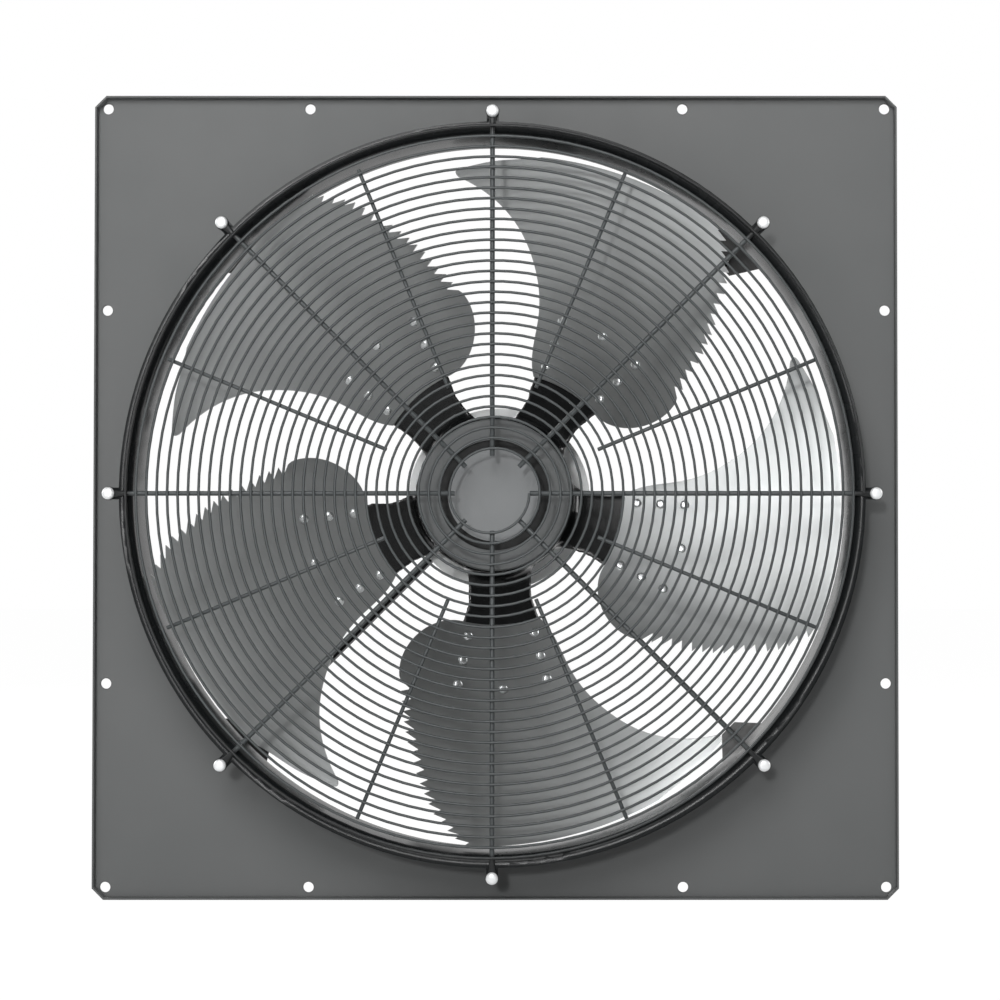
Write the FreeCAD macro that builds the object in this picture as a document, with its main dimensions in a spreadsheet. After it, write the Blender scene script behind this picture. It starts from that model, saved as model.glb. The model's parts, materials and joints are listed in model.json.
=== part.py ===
"""Axial fan: square wall plate, short nozzle, five sickle blades on an outer-rotor motor, wire guard.

Frame: millimetres, +Z up, the fan's axis along Y, the guard faces -Y.
The origin lies on the axis, in the plate's rear face, which goes against the wall.
"""
import FreeCAD
import Part
import Sketcher
import math
import os

Vector = FreeCAD.Vector

# Driving sizes in millimetres, unless the comment says otherwise
SIZES = [
    # wall plate
    ("plate_width", 850.0),
    ("plate_sheet", 2.0),
    ("edge_fold_depth", 10.0),
    ("corner_cut", 12.0),
    ("mount_hole_dia", 11.0),
    ("mount_hole_inset", 12.0),
    ("mount_hole_inner_spacing", 396.0),
    # nozzle
    ("throat_radius", 368.0),
    ("nozzle_sheet", 2.0),
    ("nozzle_height", 76.0),
    ("inlet_radius", 12.0),
    ("lip_radius", 10.0),
    ("lip_flat", 2.0),
    ("weld_flange_width", 12.0),
    ("ear_width", 12.0),
    ("ear_sheet", 3.0),
    # guard
    ("guard_screw_offset", 10.0),
    ("guard_wire_dia", 3.0),
    ("guard_pitch", 10.6),
    ("guard_inner_radius", 38.0),
    ("guard_lip_overlap", 6.35),
    ("long_spoke_dia", 5.0),
    ("short_spoke_dia", 4.0),
    ("short_spoke_inner", 116.0),
    ("short_spoke_margin", 11.0),
    ("eyelet_radius", 7.0),
    ("eyelet_thickness", 3.0),
    ("spoke_end_gap", 1.0),
    ("guard_screw_dia", 6.0),
    ("screw_head_radius", 6.3),
    ("screw_head_height", 3.9),
    ("guard_nut_width", 10.0),
    ("guard_nut_height", 5.0),
    ("thread_end", 2.0),
    # impeller
    ("tip_clearance", 4.0),
    ("blade_root_radius", 136.0),
    ("blade_thickness", 3.4),
    ("blade_behind_rim", 28.0),
    ("tip_axis_depth", 12.0),
    ("root_axis_depth", 50.0),
    ("tip_slope", 0.25),
    ("root_slope", 0.46),
    ("camber", 0.0008),
    ("tooth_depth", 10.5),
    ("arm_thickness", 4.5),
    ("arm_half_angle", 17.0),
    ("arm_reach", 78.0),
    ("rivet_half_angle", 13.3),
    ("rivet_first", 14.0),
    ("rivet_step", 25.5),
    ("rivet_end_reach", 53.5),
    ("rivet_shank_radius", 3.0),
    ("rivet_head_radius", 5.0),
    ("rivet_head_height", 2.6),
    ("sleeve_wall", 3.0),
    ("hub_flare_reach", 30.0),
    ("hub_flare_lead", 3.0),
    ("hub_flare_web", 14.0),
    ("sleeve_front_margin", 6.0),
    ("sleeve_rear_margin", 2.0),
    # motor
    ("bell_radius", 79.0),
    ("bell_wall", 3.0),
    ("bell_face", 5.0),
    ("bell_ahead", 42.0),
    ("groove_inner_radius", 48.0),
    ("groove_outer_radius", 57.0),
    ("groove_depth", 3.0),
    ("air_gap", 0.5),
    ("rotor_core_width", 7.0),
    ("core_length", 45.0),
    ("winding_space", 17.0),
    ("winding_depth", 13.0),
    ("winding_margin", 8.0),
    ("winding_clear", 1.0),
    ("bell_rear_gap", 2.0),
    ("bearing_tube_wall", 6.5),
    ("tube_lead", 2.0),
    ("flange_radius", 82.0),
    ("flange_depth", 24.0),
    ("flange_wall", 4.0),
    ("shaft_radius", 10.0),
    ("bearing_outer_radius", 23.5),
    ("bearing_width", 14.0),
    ("bearing_pitch_radius", 16.75),
    ("ball_radius", 3.97),
    ("race_gap_half", 2.5),
    ("ball_clear", 0.1),
    ("cage_half_width", 1.1),
    ("cage_length", 9.0),
    ("washer_width", 4.0),
    ("circlip_width", 1.5),
    ("circlip_lap", 2.6),
    # support behind the impeller
    ("mount_disc_margin", 18.0),
    ("mount_disc_sheet", 5.0),
    ("motor_bolt_circle", 62.0),
    ("motor_bolt_dia", 8.0),
    ("motor_bolt_grip", 14.0),
    ("bolt_head_radius", 6.5),
    ("bolt_head_height", 8.0),
    ("strut_width", 5.0),
    ("strut_depth", 30.0),
    ("strut_inner_radius", 62.0),
    ("strut_offset", 7.0),
    ("foot_width", 80.0),
    ("foot_end_width", 20.0),
    ("foot_sheet", 4.0),
    ("foot_lean", 18.0),
    ("foot_length", 44.0),
    ("foot_stud_dia", 8.0),
    ("foot_stud_pitch", 50.0),
    ("foot_stud_inset", 30.0),
    ("foot_nut_width", 13.0),
    ("foot_nut_height", 6.5),
    # terminal box
    ("box_width", 80.0),
    ("box_depth", 42.0),
    ("box_wall", 3.0),
    ("box_corner", 8.0),
    ("gasket_thickness", 1.5),
    ("lid_thickness", 6.0),
    ("lid_screw_inset", 7.0),
    ("lid_screw_dia", 4.0),
    ("lid_screw_head", 3.6),
    ("block_length", 50.0),
    ("block_width", 18.0),
    ("block_height", 16.0),
    ("gland_dia", 20.0),
    ("gland_length", 12.0),
    ("gland_nut_length", 14.0),
    ("gland_bore", 11.0),
    ("gland_collar_dia", 25.0),
    ("gland_nut_dia", 26.0),
    # fits
    ("seat_gap", 0.05),
    ("press_gap", 0.02),
    ("hole_gap", 0.3),
]

GUARD_SCREWS = 8
WIRE_SIDES = 8
DOME_STEPS = 3
BLADES = 5
TEETH = 17
STRUTS = 4
MOTOR_BOLTS = 4
BALLS = 8
SURFACE_RINGS = 9
SURFACE_RAYS = 11

# Angles of the first blade's arm, short spoke and strut, in degrees from +X towards +Z
FIRST_ARM_ANGLE = 272.3
SHORT_SPOKE_ANGLE = 22.5
FIRST_STRUT_ANGLE = 45.0

# Shares that shape a saw tooth, a rivet's tail and the sides of a hub arm
TOOTH_LEAN = 0.55
TAIL_TAPER = 0.9
# How an arm widens from the blade's root, 1, to the sleeve, 0, as a multiple of its half angle
ARM_FLARE = ((0.6, 1.0), (0.38, 1.1), (0.0, 1.6))
# The same for the trumpet between the arms, whose sides meet in a round gap between two arms
WEB_FLARE = ((0.77, 1.0), (0.46, 1.12), (0.225, 1.35), (0.1, 1.66), (0.0, 2.1))
ARM_SHOULDER_SHARE = 0.1
FLARE_WAIST = 0.25

doc = FreeCAD.newDocument("axial_fan")
sheet = doc.addObject("Spreadsheet::Sheet", "sheet")
for row, (name, value) in enumerate(SIZES, start=1):
    sheet.set("A%d" % row, str(value))
    sheet.setAlias("A%d" % row, name)
doc.recompute()


class Size:
    """A length that carries its value and the sheet expression it comes from."""

    def __init__(self, value, text):
        self.value = float(value)
        self.text = text

    def __float__(self):
        return self.value

    def joined(self, sign, other, value):
        other_text = other.text if isinstance(other, Size) else "%.9f" % other
        return Size(value, "(%s %s %s)" % (self.text, sign, other_text))

    def __add__(self, other):
        return self.joined("+", other, self.value + float(other))

    def __sub__(self, other):
        return self.joined("-", other, self.value - float(other))

    def __mul__(self, factor):
        return self.joined("*", factor, self.value * float(factor))

    def __truediv__(self, divisor):
        return self.joined("/", divisor, self.value / float(divisor))

    def __neg__(self):
        return Size(-self.value, "(0 - %s)" % self.text)


class Sizes:
    """The sheet's cells by name."""


d = Sizes()
for name, _ in SIZES:
    setattr(d, name, Size(sheet.get(name), "sheet." + name))

# Stations along the axis and radii that follow from the driving sizes
rim_front = -d.nozzle_height
lip_outer_radius = d.throat_radius + d.lip_radius + d.lip_flat
guard_screw_radius = lip_outer_radius + d.guard_screw_offset
tip_radius = d.throat_radius - d.tip_clearance
arm_end_radius = d.blade_root_radius + d.arm_reach
bell_front = -d.bell_ahead
bell_inner_front = bell_front + d.bell_face
core_front = bell_inner_front + d.winding_space
core_rear = core_front + d.core_length
flange_front = core_rear + d.winding_depth + d.winding_clear
flange_rear = flange_front + d.flange_depth
bell_rear = flange_front - d.bell_rear_gap
tube_front = core_front - d.tube_lead
front_bearing = tube_front + d.seat_gap
bore_end = flange_rear - d.flange_wall
rear_bearing = bore_end - d.washer_width - d.bearing_width
bell_bore_radius = d.bell_radius - d.bell_wall
rotor_core_inner = bell_bore_radius - d.rotor_core_width
stator_radius = rotor_core_inner - d.air_gap
tube_radius = d.bearing_outer_radius + d.bearing_tube_wall
mount_disc_rear = flange_rear + d.mount_disc_sheet
strut_rear = mount_disc_rear + d.strut_depth
mount_disc_radius = d.flange_radius + d.mount_disc_margin
foot_radius = d.throat_radius + d.inlet_radius
box_rear = mount_disc_rear + d.box_depth
gasket_rear = box_rear + d.gasket_thickness

parts = []


def keep(feature, label):
    """Name a sub-part and list it for writing."""
    feature.Label = label
    parts.append(feature)
    return feature


def bind(feature, **sizes):
    for prop, size in sizes.items():
        feature.setExpression(prop, size.text)


def place(feature, x=None, y=None, z=None):
    for axis, size in (("x", x), ("y", y), ("z", z)):
        if isinstance(size, Size):
            feature.setExpression("Placement.Base." + axis, size.text)


# Sketches, pads and turned pieces

def new_body(label, front=None):
    body = doc.addObject("PartDesign::Body", label)
    if front is not None:
        place(body, y=front)
    return keep(body, label)


def new_sketch(body, role, name):
    sketch = body.newObject("Sketcher::SketchObject", name)
    plane = [f for f in body.Origin.OriginFeatures if f.Role == role][0]
    sketch.AttachmentSupport = [(plane, "")]
    sketch.MapMode = "FlatFace"
    return sketch


def fix_point(sketch, item, end, x, y):
    """Tie a sketch point to the origin by its two distances."""
    for kind, size, axis in (("DistanceX", x, -2), ("DistanceY", y, -1)):
        if not isinstance(size, Size):
            sketch.addConstraint(Sketcher.Constraint("PointOnObject", item, end, axis))
            continue
        if size.value > 0:
            rule = Sketcher.Constraint(kind, -1, 1, item, end, size.value)
            text = size.text
        else:
            rule = Sketcher.Constraint(kind, item, end, -1, 1, -size.value)
            text = "0 - " + size.text
        index = sketch.addConstraint(rule)
        sketch.setExpression("Constraints[%d]" % index, text)


def arc_between(start, end, radius, side):
    """The arc from start to end with its centre on the left (1) or right (-1) of the way."""
    middle = (start + end) * 0.5
    half = (end - start) * 0.5
    across = Vector(-half.y, half.x, 0).normalize() * side
    centre = middle + across * math.sqrt(max(radius ** 2 - half.Length ** 2, 0.0))
    first = math.atan2(start.y - centre.y, start.x - centre.x)
    last = math.atan2(end.y - centre.y, end.x - centre.x)
    circle = Part.Circle(centre, Vector(0, 0, 1), radius)
    if side > 0:
        return Part.ArcOfCircle(circle, first, last)
    return Part.ArcOfCircle(circle, last, first)


def outline(sketch, points, arcs=None):
    """A closed outline through points; arcs gives a radius and side for some of its stretches."""
    arcs = arcs or {}
    spots = [Vector(float(x), float(y), 0) for x, y in points]
    ends = []
    for index, start in enumerate(spots):
        finish = spots[(index + 1) % len(spots)]
        if index in arcs:
            radius, side = arcs[index]
            item = sketch.addGeometry(arc_between(start, finish, float(radius), side))
            rule = sketch.addConstraint(Sketcher.Constraint("Radius", item, float(radius)))
            sketch.setExpression("Constraints[%d]" % rule, radius.text)
            ends.append((item, 1, 2) if side > 0 else (item, 2, 1))
        else:
            item = sketch.addGeometry(Part.LineSegment(start, finish))
            ends.append((item, 1, 2))
    for index, (item, first, last) in enumerate(ends):
        following, next_first, next_last = ends[(index + 1) % len(ends)]
        sketch.addConstraint(Sketcher.Constraint("Coincident", item, last, following, next_first))
        fix_point(sketch, item, first, *points[index])


def round_hole(sketch, x, y, radius):
    centre = Vector(float(x), float(y), 0)
    item = sketch.addGeometry(Part.Circle(centre, Vector(0, 0, 1), float(radius)))
    fix_point(sketch, item, 3, x, y)
    rule = sketch.addConstraint(Sketcher.Constraint("Radius", item, float(radius)))
    sketch.setExpression("Constraints[%d]" % rule, radius.text)


def turn(body, points, arcs=None):
    """Revolve an outline of (radius, distance along Y) about the fan's axis."""
    sketch = new_sketch(body, "XY_Plane", body.Name + "_profile")
    outline(sketch, points, arcs)
    revolution = body.newObject("PartDesign::Revolution", body.Name + "_turn")
    revolution.Profile = sketch
    revolution.ReferenceAxis = (sketch, ["V_Axis"])
    revolution.Angle = 360
    return revolution


def ring(label, inner, outer, front, rear):
    """A plain turned ring between two radii and two stations on the axis."""
    body = new_body(label, front)
    depth = rear - front
    turn(body, [(inner, 0), (outer, 0), (outer, depth), (inner, depth)])
    return body


def pad(body, sketch, length, backwards=True):
    """Extrude a sketch of the XZ plane; backwards goes towards +Y."""
    feature = body.newObject("PartDesign::Pad", sketch.Name + "_pad")
    feature.Profile = sketch
    bind(feature, Length=length)
    feature.Reversed = backwards
    return feature


def cut_through(body, sketch):
    feature = body.newObject("PartDesign::Pocket", sketch.Name + "_cut")
    feature.Profile = sketch
    feature.Type = "ThroughAll"
    feature.SideType = "Symmetric"
    return feature


def rod(name, radius, length, x=None, y=None, z=None):
    """A cylinder that runs along +Y from the given point."""
    feature = doc.addObject("Part::Cylinder", name)
    bind(feature, Radius=radius, Height=length)
    feature.Placement = FreeCAD.Placement(Vector(), FreeCAD.Rotation(Vector(1, 0, 0), -90))
    place(feature, x, y, z)
    return feature


def box(name, width, depth, height, x, y, z):
    """A block of the given sizes along X, Y and Z, from its lowest corner."""
    feature = doc.addObject("Part::Box", name)
    bind(feature, Length=width, Width=depth, Height=height)
    place(feature, x, y, z)
    return feature


def fused(name, shapes):
    feature = doc.addObject("Part::MultiFuse", name)
    feature.Shapes = shapes
    return feature


def gathered(name, shapes):
    feature = doc.addObject("Part::Compound", name)
    feature.Links = shapes
    return feature


def cut(name, base, tool):
    feature = doc.addObject("Part::Cut", name)
    feature.Base = base
    feature.Tool = tool
    return feature


def solid_feature(label, shape):
    """A sub-part whose shape is worked out in code."""
    feature = doc.addObject("Part::Feature", label)
    feature.Shape = shape
    return keep(feature, label)


def about_axis(shape, degrees):
    """A copy of a shape turned about the fan's axis, from +X towards +Z."""
    turned = shape.copy()
    turned.rotate(Vector(0, 0, 0), Vector(0, -1, 0), degrees)
    return turned


def around(shape, count, first=0.0):
    return Part.makeCompound([about_axis(shape, first + 360.0 * k / count) for k in range(count)])


def polar(radius, degrees, y=0.0):
    angle = math.radians(degrees)
    return Vector(radius * math.cos(angle), y, radius * math.sin(angle))


def cross_places(radius):
    """Four places on the X and Z axes at one radius."""
    return [(radius, 0), (0, radius), (-radius, 0), (0, -radius)]


def corner_places(reach):
    """The four corners of a square about the axis: a tag and two distances."""
    signs = [(x, z) for x in (1, -1) for z in (1, -1)]
    return [("_%d_%d" % (x, z), reach * x, reach * z) for x, z in signs]


# Wall plate: a square sheet with cut corners, folded edges and a row of holes along each edge

def cut_corner_square(sketch, half, cut_off):
    """A square outline about the axis with its corners cut off."""
    corner = half - cut_off
    outline(sketch, [
        (corner, -half), (half, -corner), (half, corner), (corner, half),
        (-corner, half), (-half, corner), (-half, -corner), (-corner, -half)])


def make_wall_plate():
    body = new_body("wall_plate", -d.plate_sheet)
    half = d.plate_width / 2
    base = new_sketch(body, "XZ_Plane", "plate_outline")
    cut_corner_square(base, half, d.corner_cut)
    pad(body, base, d.plate_sheet)
    folds = new_sketch(body, "XZ_Plane", "plate_folds")
    cut_corner_square(folds, half, d.corner_cut)
    inner_cut = d.corner_cut - d.plate_sheet * (2 - math.sqrt(2))
    cut_corner_square(folds, half - d.plate_sheet, inner_cut)
    pad(body, folds, d.edge_fold_depth - d.plate_sheet, backwards=False)
    holes = new_sketch(body, "XZ_Plane", "plate_holes")
    round_hole(holes, 0, 0, foot_radius)
    far = half - d.mount_hole_inset
    near = d.mount_hole_inner_spacing / 2
    for x_side in (1, -1):
        for z_side in (1, -1):
            for x, z in ((far, far), (far, near), (near, far)):
                round_hole(holes, x * x_side, z * z_side, d.mount_hole_dia / 2)
    cut_through(body, holes)


# Nozzle: a spun sheet with a rounded inlet, a flared front lip and ears for the guard's screws

def make_nozzle():
    body = new_body("nozzle_ring", rim_front)
    rear = d.nozzle_height - d.plate_sheet
    bore = d.throat_radius
    wall = bore + d.nozzle_sheet
    lip = bore + d.lip_radius
    inlet = bore + d.inlet_radius
    flange = inlet + d.weld_flange_width
    sheet_front = rear - d.nozzle_sheet
    points = [
        (lip, 0), (bore, d.lip_radius), (bore, rear - d.inlet_radius), (inlet, rear),
        (flange, rear), (flange, sheet_front), (inlet, sheet_front), (wall, rear - d.inlet_radius),
        (wall, d.lip_radius), (lip, d.nozzle_sheet),
        (lip_outer_radius, d.nozzle_sheet), (lip_outer_radius, 0)]
    arcs = {
        0: (d.lip_radius, -1), 2: (d.inlet_radius, -1),
        6: (d.inlet_radius - d.nozzle_sheet, 1), 8: (d.lip_radius - d.nozzle_sheet, 1)}
    turn(body, points, arcs)
    ear = new_sketch(body, "XZ_Plane", "ear_outline")
    half = d.ear_width / 2
    outline(ear, [(lip, -half), (guard_screw_radius, -half), (guard_screw_radius + half, 0),
                  (guard_screw_radius, half), (lip, half)], {1: (half, 1), 2: (half, 1)})
    round_hole(ear, guard_screw_radius, 0, d.guard_screw_dia / 2 + d.hole_gap)
    tab = pad(body, ear, d.ear_sheet)
    ears = body.newObject("PartDesign::PolarPattern", "ears")
    ears.Originals = [tab]
    ears.Axis = ([f for f in body.Origin.OriginFeatures if f.Role == "Y_Axis"][0], [""])
    ears.Angle = 360
    ears.Occurrences = GUARD_SCREWS
    body.Tip = ears


# Guard: one wire wound as a flat spiral over long and short radial wires

def spiral_path(outer, inner, pitch, y):
    """Half circles about two centres half a pitch apart, winding inwards as seen from the front."""
    edges = []
    radius = outer
    side = 1
    while radius > inner:
        centre = Vector(side * pitch / 4, y, 0)
        tips = [centre + polar(radius, angle) for angle in (90 - 90 * side, 180 - 90 * side, 270 - 90 * side)]
        edges.append(Part.Arc(*tips).toShape())
        radius -= pitch / 2
        side = -side
    return edges


def make_guard():
    seat = rim_front - d.seat_gap
    spoke_front = seat - d.long_spoke_dia
    wire_y = float(spoke_front) - float(d.seat_gap) - float(d.guard_wire_dia) / 2
    outer = float(d.throat_radius + d.guard_lip_overlap)
    edges = spiral_path(outer, float(d.guard_inner_radius), float(d.guard_pitch), wire_y)
    path = Part.Wire(edges)
    start = edges[0].valueAt(edges[0].FirstParameter)
    half_side = math.pi / WIRE_SIDES
    corner_radius = float(d.guard_wire_dia) / 2 / math.cos(half_side)
    corners = [start + Vector(math.cos(a), math.sin(a), 0) * corner_radius
               for a in [half_side * (2 * k + 1) for k in range(WIRE_SIDES)]]
    section = Part.makePolygon(corners + corners[:1])
    spiral = path.makePipeShell([section], True, False)
    expected = path.Length * Part.Face(section).Area
    print("guard spiral: volume %.0f, section times length %.0f" % (spiral.Volume, expected))
    radii = [edge.Curve.Radius for edge in edges[::2]]
    least = min(a - b for a, b in zip(radii, radii[1:])) - float(d.guard_wire_dia)
    print("guard spiral: least gap between turns %.2f" % least)
    solid_feature("guard_spiral", spiral)

    eyelet_at = float(guard_screw_radius)
    spoke_y = float(seat) - float(d.long_spoke_dia) / 2
    reach = eyelet_at - float(d.screw_head_radius) - float(d.spoke_end_gap)
    long_spoke = Part.makeCylinder(float(d.long_spoke_dia) / 2, reach - float(d.guard_inner_radius),
                                   Vector(float(d.guard_inner_radius), spoke_y, 0), Vector(1, 0, 0))
    eyelet_front = Vector(eyelet_at, float(seat) - float(d.eyelet_thickness), 0)
    eyelet = Part.makeCylinder(
        float(d.eyelet_radius), float(d.eyelet_thickness), eyelet_front, Vector(0, 1, 0))
    hole = Part.makeCylinder(float(d.guard_screw_dia) / 2 + float(d.hole_gap), float(d.long_spoke_dia) * 3,
                             eyelet_front - Vector(0, float(d.long_spoke_dia), 0), Vector(0, 1, 0))
    solid_feature("guard_long_spokes", around(long_spoke.fuse(eyelet).cut(hole), GUARD_SCREWS))

    short_y = float(spoke_front) + float(d.short_spoke_dia) / 2
    short_outer = float(d.throat_radius - d.short_spoke_margin)
    short_spoke = Part.makeCylinder(float(d.short_spoke_dia) / 2, short_outer - float(d.short_spoke_inner),
                                    Vector(float(d.short_spoke_inner), short_y, 0), Vector(1, 0, 0))
    solid_feature("guard_short_spokes", around(short_spoke, GUARD_SCREWS, SHORT_SPOKE_ANGLE))

    head_seat = float(seat) - float(d.eyelet_thickness) - float(d.seat_gap)
    nut_front = float(rim_front) + float(d.ear_sheet) + float(d.seat_gap)
    nut_rear = nut_front + float(d.guard_nut_height)
    screw = dome_screw(float(d.guard_screw_dia) / 2, nut_rear + float(d.thread_end) - head_seat,
                       float(d.screw_head_radius), float(d.screw_head_height))
    screw.rotate(Vector(), Vector(1, 0, 0), -90)
    screw.translate(Vector(eyelet_at, head_seat, 0))
    solid_feature("guard_screws", around(screw, GUARD_SCREWS))
    nut = hex_nut(float(d.guard_nut_width), float(d.guard_nut_height),
                  float(d.guard_screw_dia) / 2 + float(d.seat_gap))
    nut.translate(Vector(eyelet_at, nut_front, 0))
    solid_feature("guard_nuts", around(nut, GUARD_SCREWS))


# Fasteners, modelled along +Z with the head below zero, or along +Y for nuts

def dome_points(radius, height):
    """Points down the side of a domed head, from its crown to its rim."""
    bow = (radius ** 2 + height ** 2) / (2 * height)
    spread = math.atan2(radius, bow - height)
    angles = [spread * k / DOME_STEPS for k in range(DOME_STEPS + 1)]
    return [Vector(bow * math.sin(a), 0, bow - height - bow * math.cos(a)) for a in angles]


def turned_pin(corners):
    """Revolve a closed outline about Z."""
    return Part.Face(Part.makePolygon(corners + corners[:1])).revolve(Vector(), Vector(0, 0, 1), 360)


def dome_screw(shank, length, head_radius, head_height):
    head = dome_points(head_radius, head_height)
    return turned_pin(head + [Vector(shank, 0, 0), Vector(shank, 0, length), Vector(0, 0, length)])


def rivet_shape(shank, length, head_radius, head_height):
    """A shank with a dome in front and an upset flat tail, from zero to length along +Z."""
    head = dome_points(head_radius, head_height)
    tail = length + head_height / 2
    return turned_pin(head + [
        Vector(shank, 0, 0), Vector(shank, 0, length), Vector(head_radius, 0, length),
        Vector(head_radius * TAIL_TAPER, 0, tail), Vector(0, 0, tail)])


def hex_nut(width, height, bore):
    """A hexagon nut from zero to height along +Y."""
    corners = [polar(width / math.sqrt(3), 60 * k + 30) for k in range(6)]
    body = Part.Face(Part.makePolygon(corners + corners[:1])).extrude(Vector(0, height, 0))
    return body.cut(Part.makeCylinder(bore, height, Vector(), Vector(0, 1, 0)))


# Impeller: sheet blades on a twisted, slightly cambered surface, riveted to the arms of a hub

def blade_share(radius):
    """How far a radius lies from the blade's root, 0, to its tip, 1."""
    root = float(d.blade_root_radius)
    return (radius - root) / (float(tip_radius) - root)


def blade_height(radius, degrees):
    """The station of the blade's front face on the axis: the leading edge lies deeper."""
    share = blade_share(radius)
    run = radius * math.radians(degrees)
    depth = float(d.root_axis_depth) * (1 - share) + float(d.tip_axis_depth) * share
    slope = float(d.root_slope) * (1 - share) + float(d.tip_slope) * share
    start = float(rim_front) + float(d.blade_behind_rim)
    return start + depth + slope * run - float(d.camber) / 2 * run ** 2


def blade_point(radius, degrees, behind=0.0):
    return polar(radius, degrees, blade_height(radius, degrees) + behind)


def blade_sheet(inner, outer, low, high, behind, thickness):
    """A sheet along the blade's surface, of constant thickness along Y."""
    angles = [low + (high - low) * k / (SURFACE_RAYS - 1) for k in range(SURFACE_RAYS)]
    grid = []
    for ring_number in range(SURFACE_RINGS):
        radius = inner + (outer - inner) * ring_number / (SURFACE_RINGS - 1)
        grid.append([blade_point(radius, angle, behind) for angle in angles])
    surface = Part.BSplineSurface()
    surface.interpolate(grid)
    return surface.toShape().extrude(Vector(0, thickness, 0))


def flat_point(share, degrees):
    """A point of the blade's outline, given by its share of the blade's height and its angle."""
    root = float(d.blade_root_radius)
    return polar(root + share * (float(tip_radius) - root), degrees)


def through(points):
    curve = Part.BSplineCurve()
    curve.interpolate(points)
    return curve.toShape()


def tooth_peak(way):
    """The saw's line from the tip, 0, to the lobe, 1: it bends a little before the tip."""
    tip_end, bend, lobe_end = (1.0, -7.2), (0.88, -12.6), (0.34, -28.6)
    bend_at = 0.22
    if way < bend_at:
        first, last, share = tip_end, bend, way / bend_at
    else:
        first, last, share = bend, lobe_end, (way - bend_at) / (1 - bend_at)
    return [a + (b - a) * share for a, b in zip(first, last)]


def saw_points():
    """Peaks and valleys of the trailing edge's teeth, from the tip to the lobe."""
    points = [flat_point(*tooth_peak(0.0))]
    root = float(d.blade_root_radius)
    for k in range(TEETH):
        share, angle = tooth_peak((k + TOOTH_LEAN) / TEETH)
        radius = root + share * (float(tip_radius) - root)
        points.append(flat_point(share, angle + math.degrees(float(d.tooth_depth) / radius)))
        points.append(flat_point(*tooth_peak((k + 1) / TEETH)))
    return points


def blade_outline():
    """Root arc, swept leading edge, round corner, tip edge, saw teeth and a round lobe."""
    root_ends = (-16.0, 17.0)
    tip_end = tooth_peak(0.0)[1]
    tip_bend = 26.0
    lobe_end = flat_point(0.325, -29.6)
    root_arc = Part.Arc(*[flat_point(0, a) for a in (root_ends[0], 0.0, root_ends[1])]).toShape()
    leading = through([flat_point(share, angle) for share, angle in (
        (0.0, root_ends[1]), (0.10, 20.0), (0.27, 20.8), (0.40, 22.3), (0.53, 25.0),
        (0.66, 28.5), (0.77, 32.5), (0.87, 37.4), (0.92, 40.5))])
    corner = through([flat_point(share, angle) for share, angle in (
        (0.92, 40.5), (0.942, 40.9), (0.957, 39.2), (0.978, 33.0), (1.0, tip_bend))])
    tip_arc = Part.Arc(*[flat_point(1, a) for a in (tip_bend, (tip_bend + tip_end) / 2, tip_end)]).toShape()
    teeth = saw_points() + [lobe_end]
    saw = [Part.makeLine(a, b) for a, b in zip(teeth, teeth[1:])]
    lobe = through([lobe_end, flat_point(0.15, -31.6), flat_point(0.045, -27.0), flat_point(0, root_ends[0])])
    return Part.Wire([root_arc, leading, corner, tip_arc] + saw + [lobe])


def prism(wire):
    """A column along Y over an outline, long enough to pass through the whole impeller."""
    reach = 2 * float(d.throat_radius)
    face = Part.Face(wire)
    face.translate(Vector(0, -reach, 0))
    return face.extrude(Vector(0, 2 * reach, 0))


def arm_outline(flare):
    """A hub arm: wide at the sleeve, straight under the blade, round at its end."""
    half = float(d.arm_half_angle)
    inside = float(d.bell_radius) + float(d.sleeve_wall) / 2
    end = float(arm_end_radius)
    shoulder = end - ARM_SHOULDER_SHARE * float(d.arm_reach)
    side = [(inside + share * (float(d.blade_root_radius) - inside), half * wider) for share, wider in flare]
    flare_in = through([polar(radius, angle) for radius, angle in side])
    flare_out = through([polar(radius, -angle) for radius, angle in reversed(side)])
    base = Part.Arc(*[polar(inside, side[-1][1] * turn_to) for turn_to in (1, 0, -1)]).toShape()
    sides = [Part.makeLine(polar(shoulder, half), polar(side[0][0], half)),
             Part.makeLine(polar(side[0][0], -half), polar(shoulder, -half))]
    tip = Part.Arc(polar(shoulder, -half), polar(end, 0), polar(shoulder, half)).toShape()
    return Part.Wire([sides[0], flare_in, base, flare_out, sides[1], tip])


def rivet_places():
    """Three rivets on each side of an arm and one at its end: radius and angle."""
    first = float(d.blade_root_radius) + float(d.rivet_first)
    step = float(d.rivet_step)
    side = float(d.rivet_half_angle)
    spots = [(first + step * k, side * sign) for k in range(3) for sign in (1, -1)]
    return spots + [(first + float(d.rivet_end_reach), 0.0)]


def surface_frame(radius, degrees):
    """A point on the blade's front face and the direction straight into the sheet there."""
    step = 0.5
    here = blade_point(radius, degrees)
    along = blade_point(radius, degrees + step) - here
    outward = blade_point(radius + step, degrees) - here
    into = along.cross(outward).normalize()
    if into.y < 0:
        into = into * -1
    return here, into


def hub_flare(front):
    """A trumpet from the sleeve's front down to the arms, turned about the fan's axis."""
    wall = float(d.bell_radius) + float(d.sleeve_wall) / 2
    collar = float(d.bell_radius + d.sleeve_wall)
    edge = collar + float(d.hub_flare_reach)
    start = front + float(d.hub_flare_lead)
    foot = blade_height(edge, 0.0) + float(d.blade_thickness) + float(d.arm_thickness)
    rear = foot + float(d.hub_flare_web)
    waist = Vector(collar + FLARE_WAIST * (edge - collar), foot - FLARE_WAIST * (foot - start), 0)
    face = Part.Face(Part.Wire([
        Part.Arc(Vector(collar, start, 0), waist, Vector(edge, foot, 0)).toShape(),
        Part.makePolygon([Vector(edge, foot, 0), Vector(collar, rear, 0), Vector(wall, rear, 0),
                          Vector(wall, start, 0), Vector(collar, start, 0)])]))
    return face.revolve(Vector(), Vector(0, 1, 0), 360)


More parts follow.
